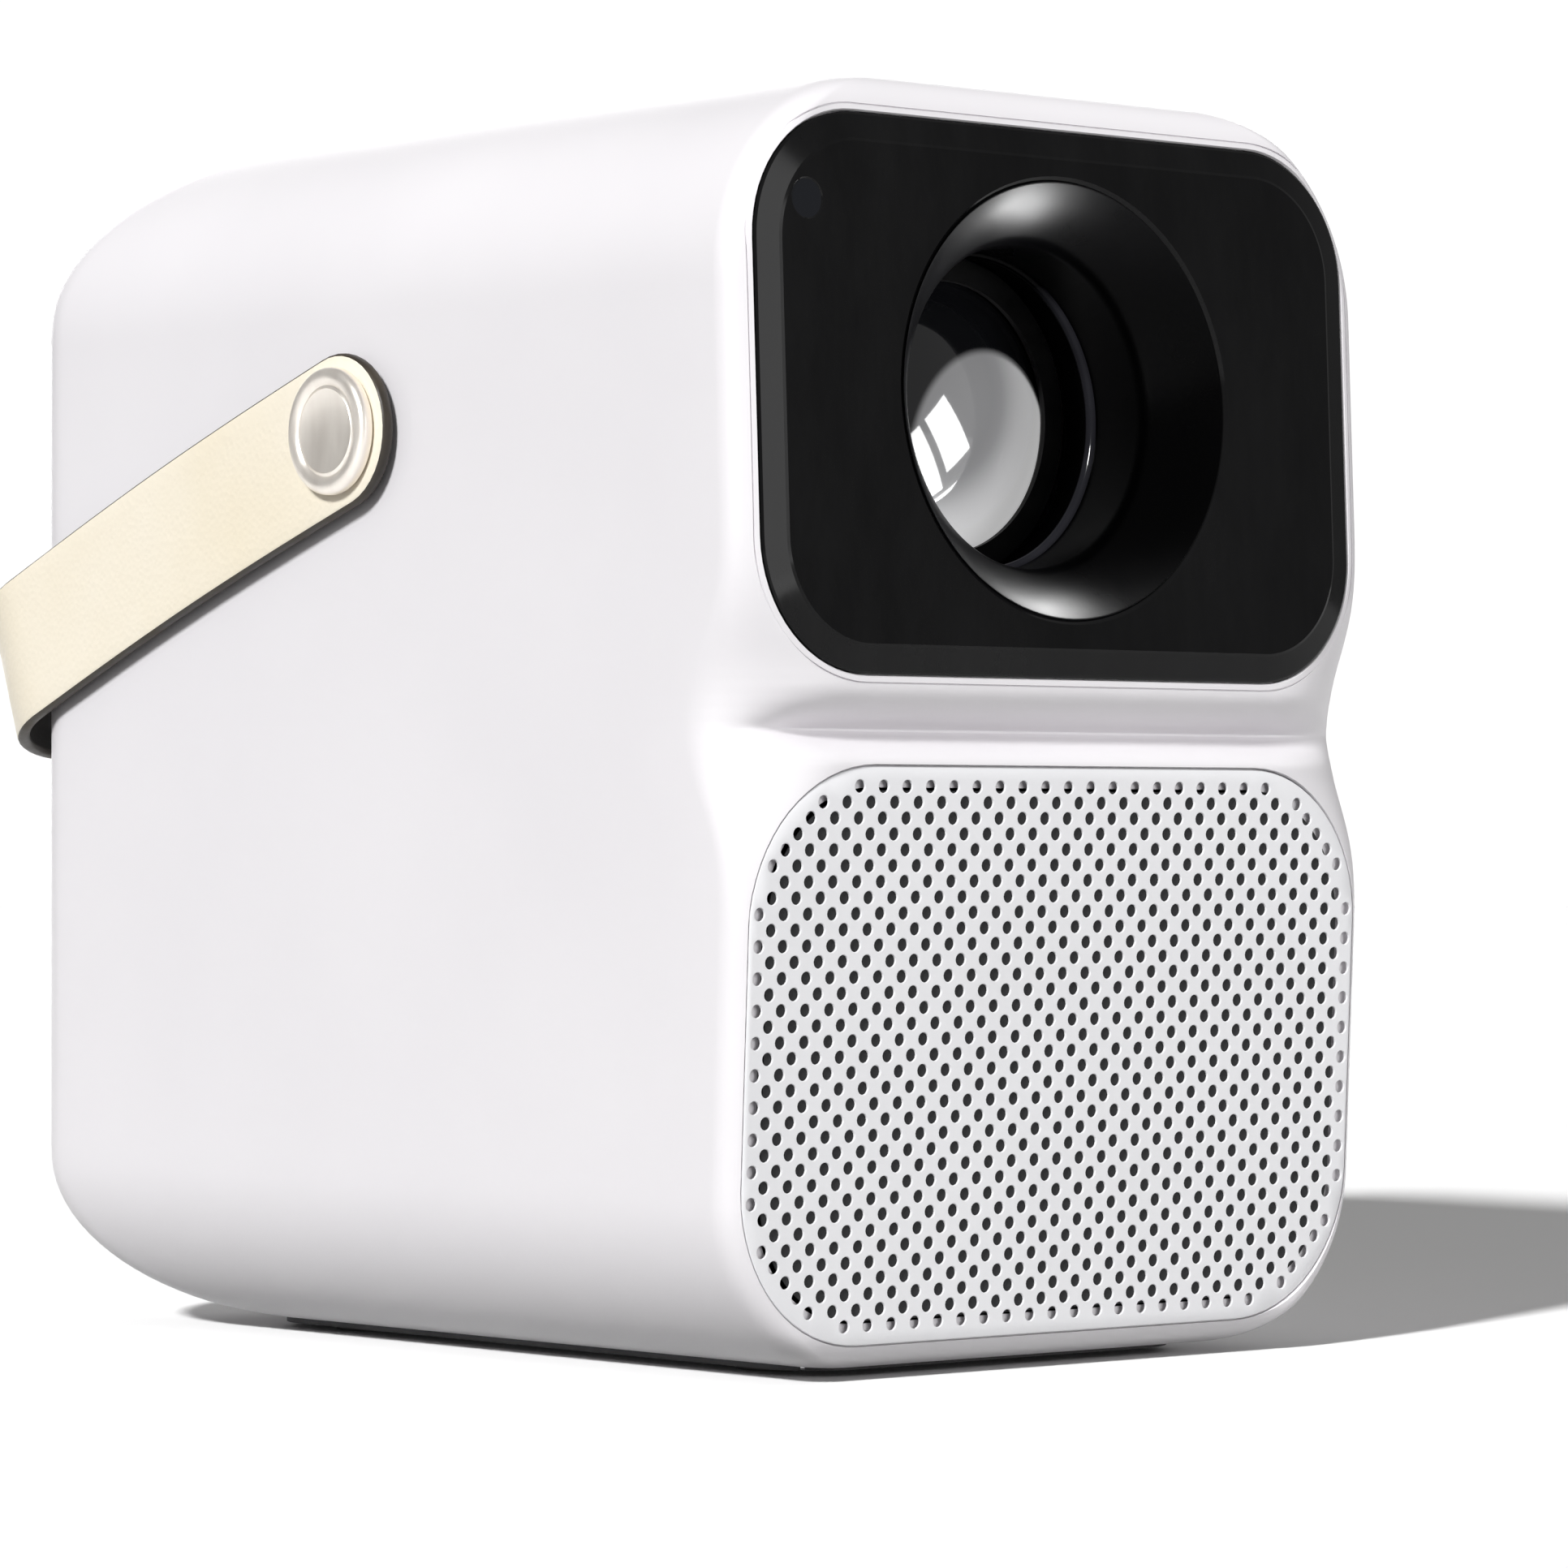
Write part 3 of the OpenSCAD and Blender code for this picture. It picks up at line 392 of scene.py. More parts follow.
def leather(name, low, high, rough, **sockets):
    """Fine leather: pebbled cells, pores and a slow change of tone."""
    m = shader(name, **sockets)
    vector = place_on(m)
    tone = noise(m, vector, 22, 4.0)
    link(m, ramp(m, tone, low, high), "Base Color")
    link(m, spread(m, noise(m, vector, 160), *rough), "Roughness")
    cells = node(m, "ShaderNodeTexVoronoi", {"Vector": vector, "Scale": 900.0}, feature="F1")
    pebbles = bump(m, cells.outputs["Distance"], 0.00012, 0.55)
    creases = bump(m, noise(m, vector, 240, 6.0, 0.65), 0.0002, 0.45, pebbles)
    link(m, creases, "Normal")
    return m


def window_finish():
    """Polished black acrylic with faint handling marks."""
    m = shader("window_black", Specular_IOR_Level=0.15)
    vector = place_on(m, (1, 1, 0.35))
    marks = noise(m, vector, 38, 6.0, 0.7)
    tone = ramp(m, marks, (0.003, 0.003, 0.0033), (0.008, 0.008, 0.0083), 0.35, 0.75)
    link(m, spread(m, marks, 0.06, 0.16), "Roughness")
    link(m, tone, "Base Color")
    link(m, bump(m, noise(m, vector, 9, 2.0), 0.00012, 0.35), "Normal")
    return m


def board_finish():
    """Circuit board: tracks under a glossy lacquer."""
    m = shader("board_green", Coat_Weight=0.4, Coat_Roughness=0.15)
    bricks = {"Scale": 260.0, "Mortar Size": 0.18, "Brick Width": 0.9, "Row Height": 0.2}
    vector = place_on(m)
    tracks = node(m, "ShaderNodeTexBrick", {"Vector": vector, **bricks}).outputs["Fac"]
    link(m, ramp(m, tracks, (0.008, 0.10, 0.045), (0.015, 0.16, 0.07), 0.2, 0.8), "Base Color")
    link(m, spread(m, noise(m, vector, 90), 0.3, 0.5), "Roughness")
    link(m, bump(m, tracks, 0.00003), "Normal")
    return m


def lens_with_painted_light():
    """Coated glass with painted light: a painted reflection, a pale disc off the middle that is
    dimmer towards a point left of and above the middle and also glows by emission, and the rest in
    the glass's own dark colour."""
    sockets = {"Roughness": 0.05, "Coat_Weight": 0.5, "Coat_Roughness": 0.01, "IOR": 1.5}
    # The emission is a painted glow: the lens shines by itself where the painted reflection is
    # pale.
    m = shader("lens_glass", Emission_Strength=0.4, **sockets)
    vector = place_on(m)

    def between(x, z, near, far, low, high):
        """The painted reflection's mask: it goes from low to high between near and far mm from a
        point of the lens.
        """
        centre = {0: vector, 1: at(x, LENS_Y, LENS_Z + z)}
        away = node(m, "ShaderNodeVectorMath", centre, operation="DISTANCE").outputs["Value"]
        reach = {"Value": away, "From Min": near * MM, "From Max": far * MM}
        reach |= {"To Min": low, "To Max": high}
        soft = node(m, "ShaderNodeMapRange", reach, interpolation_type="SMOOTHSTEP")
        return soft.outputs["Result"]

    # Painted reflection: a pale disc off the middle, dimmer towards a point left of and above the
    # middle; tone carries it into the base colour.
    painted_disc = {0: between(8, -6.5, 17.5, 19.2, 1, 0), 1: between(-4, 4, 13, 30, 0.3, 1)}
    painted_light_level = node(m, "ShaderNodeMath", painted_disc, operation="MULTIPLY").outputs["Value"]
    tone = ramp(m, painted_light_level, (0.004, 0.0042, 0.005), (0.92, 0.92, 0.94), 0.0, 1.0)
    link(m, tone, "Base Color")
    # Painted glow: the same mask drives the emission colour.
    link(m, ramp(m, painted_light_level, (0, 0, 0), (1, 1, 1), 0.35, 1.0), "Emission Color")
    return m


# Low and high colour, range of roughness, scales of the mottle and the grain, depth of the grain in
# metres, and what else is set: the stretch of the pattern, and the shader's own sockets
FINISH_TABLE = {
    "casing_white": (
        (0.835, 0.815, 0.84), (0.865, 0.845, 0.868), (0.36, 0.46), 14, 1500, 0.000012,
        {"Coat_Weight": 0.08, "Coat_Roughness": 0.3},
    ),
    "grille_metal": ((0.86, 0.86, 0.88), (0.89, 0.89, 0.91), (0.4, 0.5), 40, 1800, 0.00002, {}),
    "funnel_black": (
        (0.0012, 0.0012, 0.0015), (0.0025, 0.0025, 0.003), (0.26, 0.34), 60, 700, 0.000006,
        {"Specular_IOR_Level": 0.05},
    ),
    "throat_black": (
        (0.0012, 0.0012, 0.0015), (0.0025, 0.0025, 0.003), (0.08, 0.12), 60, 700, 0.000004,
        {"Specular_IOR_Level": 0.03},
    ),
    "strap_edge_paint": (
        (0.020, 0.015, 0.010), (0.045, 0.034, 0.020), (0.35, 0.6), 120, 500, 0.00008, {},
    ),
    "button_metal": (
        (0.90, 0.84, 0.77), (0.96, 0.91, 0.84), (0.28, 0.4), 60, 900, 0.00002,
        {"stretch": (1, 6, 1), "Metallic": 0.8},
    ),
    "grille_cloth": (
        (0.010, 0.010, 0.011), (0.022, 0.022, 0.024), (0.85, 0.95), 300, 2500, 0.0001, {},
    ),
    "base_dark": (
        (0.030, 0.030, 0.032), (0.045, 0.045, 0.048), (0.5, 0.65), 60, 1400, 0.00006, {},
    ),
    "rubber_black": (
        (0.018, 0.018, 0.018), (0.032, 0.032, 0.032), (0.75, 0.9), 80, 1100, 0.00008, {},
    ),
    "brass": (
        (0.62, 0.42, 0.16), (0.74, 0.53, 0.24), (0.22, 0.38), 90, 900, 0.00003, {"Metallic": 1.0},
    ),
    "screw_steel": (
        (0.50, 0.50, 0.51), (0.62, 0.62, 0.63), (0.22, 0.36), 200, 1500, 0.00002, {"Metallic": 1.0},
    ),
    "speaker_black": (
        (0.022, 0.022, 0.024), (0.038, 0.038, 0.04), (0.55, 0.7), 50, 1200, 0.00008, {},
    ),
    "cone_paper": (
        (0.040, 0.040, 0.042), (0.075, 0.075, 0.078), (0.8, 0.9), 150, 900, 0.0001, {},
    ),
    "magnet_dark": (
        (0.05, 0.05, 0.052), (0.08, 0.08, 0.083), (0.4, 0.6), 70, 1000, 0.00005, {"Metallic": 0.6},
    ),
    "barrel_black": (
        (0.003, 0.003, 0.0035), (0.006, 0.006, 0.0065), (0.4, 0.55), 200, 1500, 0.00003,
        {"Specular_IOR_Level": 0.2},
    ),
    "inner_plastic": (
        (0.055, 0.055, 0.06), (0.08, 0.08, 0.085), (0.5, 0.65), 40, 1000, 0.00006, {},
    ),
    "gear_nylon": (
        (0.62, 0.61, 0.55), (0.72, 0.71, 0.66), (0.4, 0.55), 70, 1300, 0.00003,
        {"Subsurface_Weight": 0.05},
    ),
    "motor_steel": (
        (0.48, 0.48, 0.48), (0.6, 0.6, 0.6), (0.25, 0.4), 80, 900, 0.00003,
        {"stretch": (1, 8, 1), "Metallic": 1.0},
    ),
    "panel_blue": (
        (0.012, 0.018, 0.05), (0.02, 0.03, 0.07), (0.08, 0.14), 50, 2500, 0.000005,
        {"Coat_Weight": 0.8},
    ),
    "ribbon_amber": (
        (0.42, 0.16, 0.02), (0.62, 0.28, 0.05), (0.25, 0.4), 300, 900, 0.00003,
        {"stretch": (4, 1, 1)},
    ),
    "copper": (
        (0.72, 0.30, 0.17), (0.86, 0.42, 0.26), (0.25, 0.42), 90, 800, 0.00003, {"Metallic": 1.0},
    ),
    "aluminium": (
        (0.62, 0.63, 0.65), (0.74, 0.75, 0.77), (0.3, 0.45), 60, 900, 0.00004,
        {"stretch": (1, 9, 1), "Metallic": 1.0},
    ),
    "fan_black": (
        (0.016, 0.016, 0.017), (0.028, 0.028, 0.03), (0.42, 0.56), 60, 1300, 0.00004, {},
    ),
    "socket_steel": (
        (0.56, 0.56, 0.58), (0.68, 0.68, 0.70), (0.22, 0.36), 150, 1200, 0.00003, {"Metallic": 1.0},
    ),
}

SENSOR = {"Base_Color": (0.004, 0.005, 0.008), "Roughness": 0.05, "Specular_IOR_Level": 0.4}
CLEAR = {
    "Base_Color": (0.85, 0.90, 0.92),
    "Roughness": 0.04,
    "Transmission_Weight": 0.9,
    "IOR": 1.5,
}
CREAM = ((0.93, 0.84, 0.66), (0.97, 0.90, 0.76), (0.42, 0.6))
LINING = ((0.012, 0.011, 0.010), (0.024, 0.022, 0.020), (0.6, 0.8))

FINISHES = {name: finish(name, *row, **more) for name, (*row, more) in FINISH_TABLE.items()}
FINISHES |= {
    "window_black": window_finish(),
    # The lens glass carries a painted reflection and a painted glow.
    "lens_glass": lens_with_painted_light(),
    "board_green": board_finish(),
    "sensor_glass": shader("sensor_glass", **SENSOR),
    "optic_clear": shader("optic_clear", **CLEAR),
    "strap_leather": leather("strap_leather", *CREAM, Sheen_Weight=0.15),
    "strap_lining": leather("strap_lining", *LINING),
}

SLOT_OF = {row["node"]: row["material_slot"] for row in frame["record"]["subparts"]}
for source, slot in SLOT_OF.items():
    for place in frame["nodes"][source].material_slots:
        place.material = FINISHES[slot]

# ---- casing ----


# Points along each straight side of the casing's outline, and the least step between two outlines
SIDE_STEPS, LEAST_STEP = 12, 0.03


def corner_loss(r, distance):
    """How far a corner of radius r has drawn in from its side, at that distance past its start."""
    d = min(max(distance, 0.0), r)
    return r - math.sqrt(r * r - d * d)


def block_front(z):
    """Front of the two leaning blocks at height z, without the groove between them."""
    if z > WAIST_Z:
        return max(z - WAIST_TOP, 0) * math.tan(WINDOW_LEAN)
    return max(WAIST_BOTTOM - z, 0) * math.tan(GRILLE_LEAN)


def groove_depth(z):
    """Depth of the groove between the blocks at height z, in the middle of the front."""
    if z >= WAIST_TOP or z <= WAIST_BOTTOM:
        return 0.0
    end, curve = (WAIST_TOP, UPPER_CURVE) if z > WAIST_Z else (WAIST_BOTTOM, LOWER_CURVE)
    return WAIST_DEPTH * ((end - z) / (end - WAIST_Z)) ** curve


def near_waist(z):
    """1 in the groove between the blocks, falling to 0 a little way above and below it."""
    height = max(z - WAIST_TOP, WAIST_BOTTOM - z, 0)
    return max(1 - height / EDGE_BLEND, 0) ** 2


def eased(function, z, reach):
    """The mean of function over z plus and minus reach, weighted to the middle."""
    steps = range(-4, 5)
    weights = [5 - abs(k) for k in steps]
    return sum(w * function(z + reach * k / 4) for w, k in zip(weights, steps)) / sum(weights)


def plan_loop(z):
    """The casing's outline at height z."""
    top, low = z - (TOP - TOP_R), (BOTTOM + BOTTOM_R) - z
    half = WIDTH / 2 - corner_loss(TOP_R, top) - corner_loss(BOTTOM_R, low)
    rear_in = max(z - (TOP - REAR_R), (BOTTOM + REAR_R) - z, 0.0)
    back = DEPTH - corner_loss(REAR_R, rear_in)
    rear = REAR_PLAN_R + REAR_PLAN_GROWTH * (rear_in / REAR_R) ** 2
    near_top, near_bottom = z - (TOP - FRONT_SIDE_R), (BOTTOM + FRONT_SIDE_R) - z
    ends = corner_loss(FRONT_SIDE_R, near_top) + corner_loss(FRONT_SIDE_R, near_bottom)
    front = eased(block_front, z, GROOVE_ROUNDING) + ends
    groove = eased(groove_depth, z, GROOVE_ROUNDING)
    waist = eased(near_waist, z, EDGE_ROUNDING)
    across = EDGE_R + WAIST_NARROWING * waist
    inward = EDGE_R + WAIST_SETBACK * waist

    def grooved(x, y):
        """A point of the front edge, set back by the groove, which fades towards the sides."""
        share = min(max((half - abs(x)) / GROOVE_FADE, 0.0), 1.0)
        return x, y + groove * share * share * (3 - 2 * share)

    def front_corner(side, a0):
        """A quarter of an ellipse, on the left for side -1 and on the right for side 1."""
        return [
            grooved(side * (half - across * (1 - side * x)), front + inward * (1 + y))
            for x, y in arc(0, 0, 1, a0, a0 + 90, 16)
        ]

    corners = [
        arc(half - rear, back - rear, rear, 0, 90, 12),
        arc(-half + rear, back - rear, rear, 90, 180, 12),
        front_corner(-1, 180),
        front_corner(1, 270),
    ]
    outline = []
    for corner, following in zip(corners, corners[1:] + corners[:1]):
        (x0, y0), (x1, y1) = corner[-1], following[0]
        outline += corner
        outline += [
            (x0 + (x1 - x0) * k / SIDE_STEPS, y0 + (y1 - y0) * k / SIDE_STEPS)
            for k in range(1, SIDE_STEPS)
        ]
    return [at(x, y, z) for x, y in outline]


def casing_levels():
    """Heights of the casing's outlines: close together where its side view curves."""
    low = [BOTTOM + BOTTOM_R * (1 - math.cos(math.radians(a))) for a in range(0, 91, 4)]
    high = [TOP - TOP_R * (1 - math.cos(math.radians(a))) for a in range(90, -1, -3)]
    groove = list(np.arange(WAIST_BOTTOM - 2, WAIST_TOP + 2, 0.35))
    under = list(np.arange(BOTTOM + BOTTOM_R + 2, WAIST_BOTTOM - 2, 2))
    over = list(np.arange(WAIST_TOP + 2, TOP - TOP_R - 1, 2))
    levels = sorted(low + high + groove + under + over)
    return [z for i, z in enumerate(levels) if i == 0 or z - levels[i - 1] > LEAST_STEP]


def stepped(place, steps, outline):
    """A closed cutter with stepped sides: the outline, grown by a margin, at each distance."""
    return loft([[place(x, d, y) for x, y in outline(margin)] for d, margin in steps])


def window_rim(inset):
    """The window's outline, drawn in by inset."""
    rim = grown(WINDOW_W, WINDOW_H, WINDOW_R, 24)(-inset)
    return [(x, WINDOW_UP + y) for x, y in rim]


def outer_casing():
    """White shell with its openings, and a fine line in the frame round the window."""
    levels = loft([plan_loop(z) for z in casing_levels()])
    shell = piece("casing_shell", levels, ["casing_white"], ["outer_shell"])
    apply(shell, "SOLIDIFY", thickness=WALL * MM, offset=-1, use_even_offset=True)
    rebate = [(-10, 0.7), (-0.3, 0.7), (0.4, GAP), (WINDOW_BACK, GAP)]
    window = stepped(
        lambda x, d, y: in_window(x, d, WINDOW_UP + y),
        rebate + [(WINDOW_BACK, -SEAT), (14, -SEAT)],
        grown(WINDOW_W, WINDOW_H, WINDOW_R),
    )
    rebate = [(-10, 0.5), (-0.2, 0.5), (0.3, GAP), (GRILLE_SEAT, GAP)]
    grille = stepped(
        lambda x, d, y: in_grille(x, d, GRILLE_UP + y),
        rebate + [(GRILLE_SEAT, -SEAT), (14, -SEAT)],
        grown(GRILLE_W, GRILLE_H, GRILLE_R),
    )
    rebate = [(DEPTH + 5, 0.6), (DEPTH, 0.6), (DEPTH - 0.4, GAP), (REAR_INNER, GAP)]
    rear = stepped(
        lambda x, d, y: at(x, d, REAR_Z + y),
        rebate + [(REAR_INNER, -LEDGE), (REAR_INNER - 9, -LEDGE)],
        grown(REAR_W, REAR_H, REAR_CORNER),
    )
    base = stepped(
        lambda x, d, y: at(x, BASE_Y + y, d),
        [(-4, GAP), (BASE_TOP, GAP), (BASE_TOP, -LEDGE), (BASE_TOP + 6, -LEDGE)],
        grown(BASE_W, BASE_L, BASE_R),
    )
    button = stepped(
        lambda x, d, y: at(x, BUTTON_Y + y, d),
        [(TOP - 8, 0.15), (TOP - 0.3, 0.15), (TOP, 0.5), (TOP + 3, 0.5)],
        lambda margin: circle(BUTTON_R + margin, 64),
    )
    sides = [
        stepped(
            lambda x, d, y, side=side: at(side * d, PIVOT_Y + y, PIVOT_Z + x),
            [(WIDTH / 2 - 6, 0.2), (WIDTH / 2 + 3, 0.2)],
            lambda margin: circle(NECK_R + margin, 32),
        )
        for side in (-1, 1)
    ]
    line_sides = (FRAME_W + LINE_W, FRAME_W)
    line_walls = [[(window_rim(-out), depth) for depth in (LINE_DEPTH, -1)] for out in line_sides]
    line = plate(line_walls, in_window)
    cut(shell, [window, line, grille, rear, base, button, *sides])
    tidy(shell, 30)


# ---- window, funnel and lens ----


def front_window():
    """Black window with a wide polished bevel, a round mouth and a hole for the focus camera."""
    face = -WINDOW_PROUD
    edge = [(0, WINDOW_BACK), (0, 0.1), (0.35, -0.12)]
    edge += [(WINDOW_BEVEL, -1.0), (WINDOW_BEVEL + 0.5, face)]
    mouth = [(MOUTH_R, WINDOW_BACK), (MOUTH_R, face + 0.5), (MOUTH_R + 0.7, face)]
    eye = [(EYE_R, WINDOW_BACK), (EYE_R, face + 0.2), (EYE_R + 0.25, face)]
    walls = [
        [(window_rim(inset), depth) for inset, depth in edge],
        [(circle(r, 144, 0, FUNNEL_UP), depth) for r, depth in mouth],
        [(circle(r, 48, EYE_X, EYE_UP), depth) for r, depth in eye],
    ]
    piece("window_glass", plate(walls, in_window), ["window_black"], ["front_window"], sharp=8)


def turned_in_mouth(name, profile, finish_name):
    """A ring turned round the axis of the window's mouth, which is part of the funnel."""
    shape = revolve(profile, lambda x, d, y: in_window(x, d, FUNNEL_UP + y), 144)
    return piece(name, shape, [finish_name], ["lens_funnel"], sharp=40)


def lens_funnel():
    """Glossy funnel: a cone that draws in from the mouth, and a straight well down to the lens."""
    edge = [(MOUTH_R - 0.05, -0.8), (MOUTH_R - 0.2, -0.98), (MOUTH_R - 0.45, -0.9)]
    bend_y = CONE_DEPTH + CONE_BEND * math.tan(math.radians(22.5))
    bend = arc(WELL_R + CONE_BEND, bend_y, CONE_BEND, 225, 180, 10)
    well = [(WELL_R, 21.5), (THROAT_R, 22), (THROAT_R, FUNNEL_DEPTH)]
    seat = WINDOW_BACK + 0.05
    back = [(THROAT_R + 1.5, FUNNEL_DEPTH), (THROAT_R + 1.5, 15), (MOUTH_R, 7)]
    back += [(MOUTH_R + 1.9, 4.2), (MOUTH_R + 1.9, seat), (MOUTH_R - 0.05, seat)]
    profile = edge + bend + well + back
    return turned_in_mouth("funnel_ring", profile, "funnel_black")


def throat_ring():
    """Rounded ring at the bottom of the funnel."""
    profile = arc(WELL_R - 0.1, 21.7, 1, 270, 90, 16) + [(WELL_R + 0.4, 22.7), (WELL_R + 0.4, 20.7)]
    return turned_in_mouth("throat_ring", profile, "throat_black")


def front_element():
    """Front lens with a truly round face and a straight rim, all in one finish."""
    sphere = (LENS_R**2 + LENS_BULGE**2) / (2 * LENS_BULGE)
    tilt = math.degrees(math.asin(LENS_R / sphere))
    arch = arc(0, 0, sphere, 90, 90 - tilt, 24)
    profile = [(x, LENS_Y - LENS_BULGE + sphere - y) for x, y in arch]
    profile += [(LENS_R, LENS_Y + LENS_T), (0, LENS_Y + LENS_T)]
    shape = revolve(profile, lambda x, d, y: at(x, d, LENS_Z + y))
    return piece("front_element", shape, ["lens_glass"], ["front_lens"], "lens_group", sharp=60)


# ---- grille ----


def in_field(x, z):
    """Whether a grille hole lies in the rounded field of holes."""
    dx = max(abs(x) - COLUMNS * HOLE_PITCH - 0.5 + FIELD_RX, 0) / FIELD_RX
    dz = max(abs(z) - ROWS * HOLE_PITCH - 0.5 + FIELD_RZ, 0) / FIELD_RZ
    return math.hypot(dx, dz) <= 1


def speaker_grille():
    """Perforated sheet with rounded edges and a pressed lip round every hole."""
    front, back = GRILLE_FRONT, GRILLE_FRONT + GRILLE_T
    rows, columns = range(-ROWS, ROWS + 1), range(-COLUMNS, COLUMNS + 1)
    places = [(i * HOLE_PITCH, j * HOLE_PITCH) for j in rows for i in columns if (i + j) % 2]

    def rim(inset):
        return [(x, GRILLE_UP + z) for x, z in grown(GRILLE_W, GRILLE_H, GRILLE_R)(-inset)]

    def hole(x, z):
        steps = [(HOLE_R, back), (HOLE_R, front + HOLE_LIP), (HOLE_R + HOLE_LIP, front)]
        return [(circle(r, 14, x, GRILLE_UP + z), depth) for r, depth in steps]

    edge = [(0, back), (0, front + 0.3), (0.1, front + 0.1), (0.3, front)]
    walls = [[(rim(inset), depth) for inset, depth in edge]]
    walls += [hole(x, z) for x, z in places if in_field(x, z)]
    shape = plate(walls, in_grille)
    piece("perforated_grille", shape, ["grille_metal"], ["speaker_grille"], sharp=28)


def grille_cloth():
    """Black cloth stretched behind the grille, which keeps dust out and hides the speaker."""
    width, height = GRILLE_W - 2 * CLOTH_MARGIN, GRILLE_H - 2 * CLOTH_MARGIN
    corner = GRILLE_R - CLOTH_MARGIN
    outline = rounded(width, height, corner)
    sides = (CLOTH_FRONT, CLOTH_BACK)
    rings = [[in_grille(x, d, GRILLE_UP + y) for x, y in outline] for d in sides]
    cloth = piece("grille_cloth", loft(rings), ["grille_cloth"], [])


# ---- strap ----

# The strap's middle line, from the middle of its back: half the back, a bend, an arm to the pivot
PATH_R = STRAP_BEND + STRAP_T / 2
BACK_HALF = STRAP_X - STRAP_BEND
BEND_END = BACK_HALF + math.pi / 2 * PATH_R
ARM = STRAP_REACH - STRAP_T - STRAP_BEND
PIVOT_S = BEND_END + ARM


def in_strap(s, v, n):
    """The place of a point of the flat strap: s along it from the middle of its back, v across it,
    and n out of its face."""
    side, a = (1 if s >= 0 else -1), abs(s)
    if a < BACK_HALF:
        x, u, nx, nu = a, ARM + PATH_R, 0.0, 1.0
    elif a < BEND_END:
        turn = (a - BACK_HALF) / PATH_R
        nx, nu = math.sin(turn), math.cos(turn)
        x, u = BACK_HALF + PATH_R * nx, ARM + PATH_R * nu
    else:
        x, u, nx, nu = BACK_HALF + PATH_R, ARM - (a - BEND_END), 1.0, 0.0
    along = min(max(u / ARM, 0.0), 1.0)
    v += STRAP_BOW * math.sin(math.pi * along)
    x, u = side * (x + n * nx), u + n * nu
    cos, sin = math.cos(STRAP_DROOP), math.sin(STRAP_DROOP)
    return at(x, PIVOT_Y + u * cos + v * sin, PIVOT_Z - u * sin + v * cos)


def strap_outline(inset):
    """Outline of the flat strap, with points every few millimetres."""
    r = STRAP_W / 2 - inset
    steps = 150
    line = [-PIVOT_S + 2 * PIVOT_S * k / steps for k in range(1, steps)]
    lower = [(s, -r) for s in line]
    upper = [(-s, r) for s in line]
    return arc(PIVOT_S, 0, r, -90, 90, 20) + upper + arc(-PIVOT_S, 0, r, 90, 270, 20) + lower


def carry_strap():
    """Leather strap: rounded, painted edges and a dark lining."""
    face_finish, edge_finish, lining_finish = 0, 1, 2
    half = STRAP_T / 2
    # The rounded edge, as (inset, height) from the face to the lining
    section = [(0.95, half), (0.5, half - 0.1), (0.16, half - 0.4), (0, 0.3)]
    section += [(inset, -n) for inset, n in reversed(section)]
    hole_r, hole_steps = NECK_R + 0.35, 32
    holes = [circle(hole_r, hole_steps, s, 0) for s in (-PIVOT_S, PIVOT_S)]
    # Points inside the outline, so that the flat faces can follow the bends
    inner = [
        (s, v)
        for s in np.linspace(-PIVOT_S, PIVOT_S, 160)
        for v in np.linspace(-10, 10, 8)
        if abs(abs(s) - PIVOT_S) > hole_r + 1.5 or abs(v) > hole_r + 1.5
    ]
    flat, tris = inside(strap_outline(section[0][0]), holes, inner)
    verts = [(s, v, n) for n in (half, -half) for s, v in flat]
    faces = tris + [tuple(len(flat) + i for i in t) for t in tris]
    index = [face_finish] * len(tris) + [lining_finish] * len(tris)
    starts = []
    for inset, n in section:
        starts.append(len(verts))
        verts += [(s, v, n) for s, v in strap_outline(inset)]
    for k, (a, b) in enumerate(zip(starts, starts[1:])):
        ring = bridge(b - a, a, b)
        faces += ring
        index += [edge_finish if k else face_finish] * len(ring)
    for hole in holes:
        first = len(verts)
        verts += [(s, v, n) for n in (half, -half) for s, v in hole]
        faces += bridge(hole_steps, first, first + hole_steps)
        index += [edge_finish] * hole_steps
    placed = [in_strap(*v) for v in verts]
    finishes = ["strap_leather", "strap_edge_paint", "strap_lining"]
    shape = placed, faces
    piece("leather_strap", shape, finishes, ["carry_strap"], "carry_strap", sharp=50, index=index)


def strap_buttons():
    """Turned metal heads with a dished middle, a fine groove and a rounded rim."""
    base = STRAP_X + STRAP_T + 0.3
    neck_end = WIDTH / 2 - 9 - base
    dish = [(0, 1.5), (3.5, 1.62), (6.6, 1.95), (7.3, 2.15), (7.6, 1.9), (7.9, 1.9), (8.2, 2.2)]
    rim = [(8.9, HEAD_T)] + arc(HEAD_R - 1.3, HEAD_T - 1.3, 1.3, 80, 0, 6) + [(HEAD_R, 0.3)]
    neck = [(HEAD_R - 0.3, 0), (NECK_R, 0), (NECK_R, neck_end), (0, neck_end)]

    heads = joined(
        revolve(
            dish + rim + neck,
            lambda x, d, y, side=side: at(side * (base + d), PIVOT_Y + x, PIVOT_Z + y),
        )
        for side in (-1, 1)
    )
    piece("button_heads", heads, ["button_metal"], ["strap_buttons"], sharp=40)


# ---- screws, and small parts that keep the CAD's shape ----


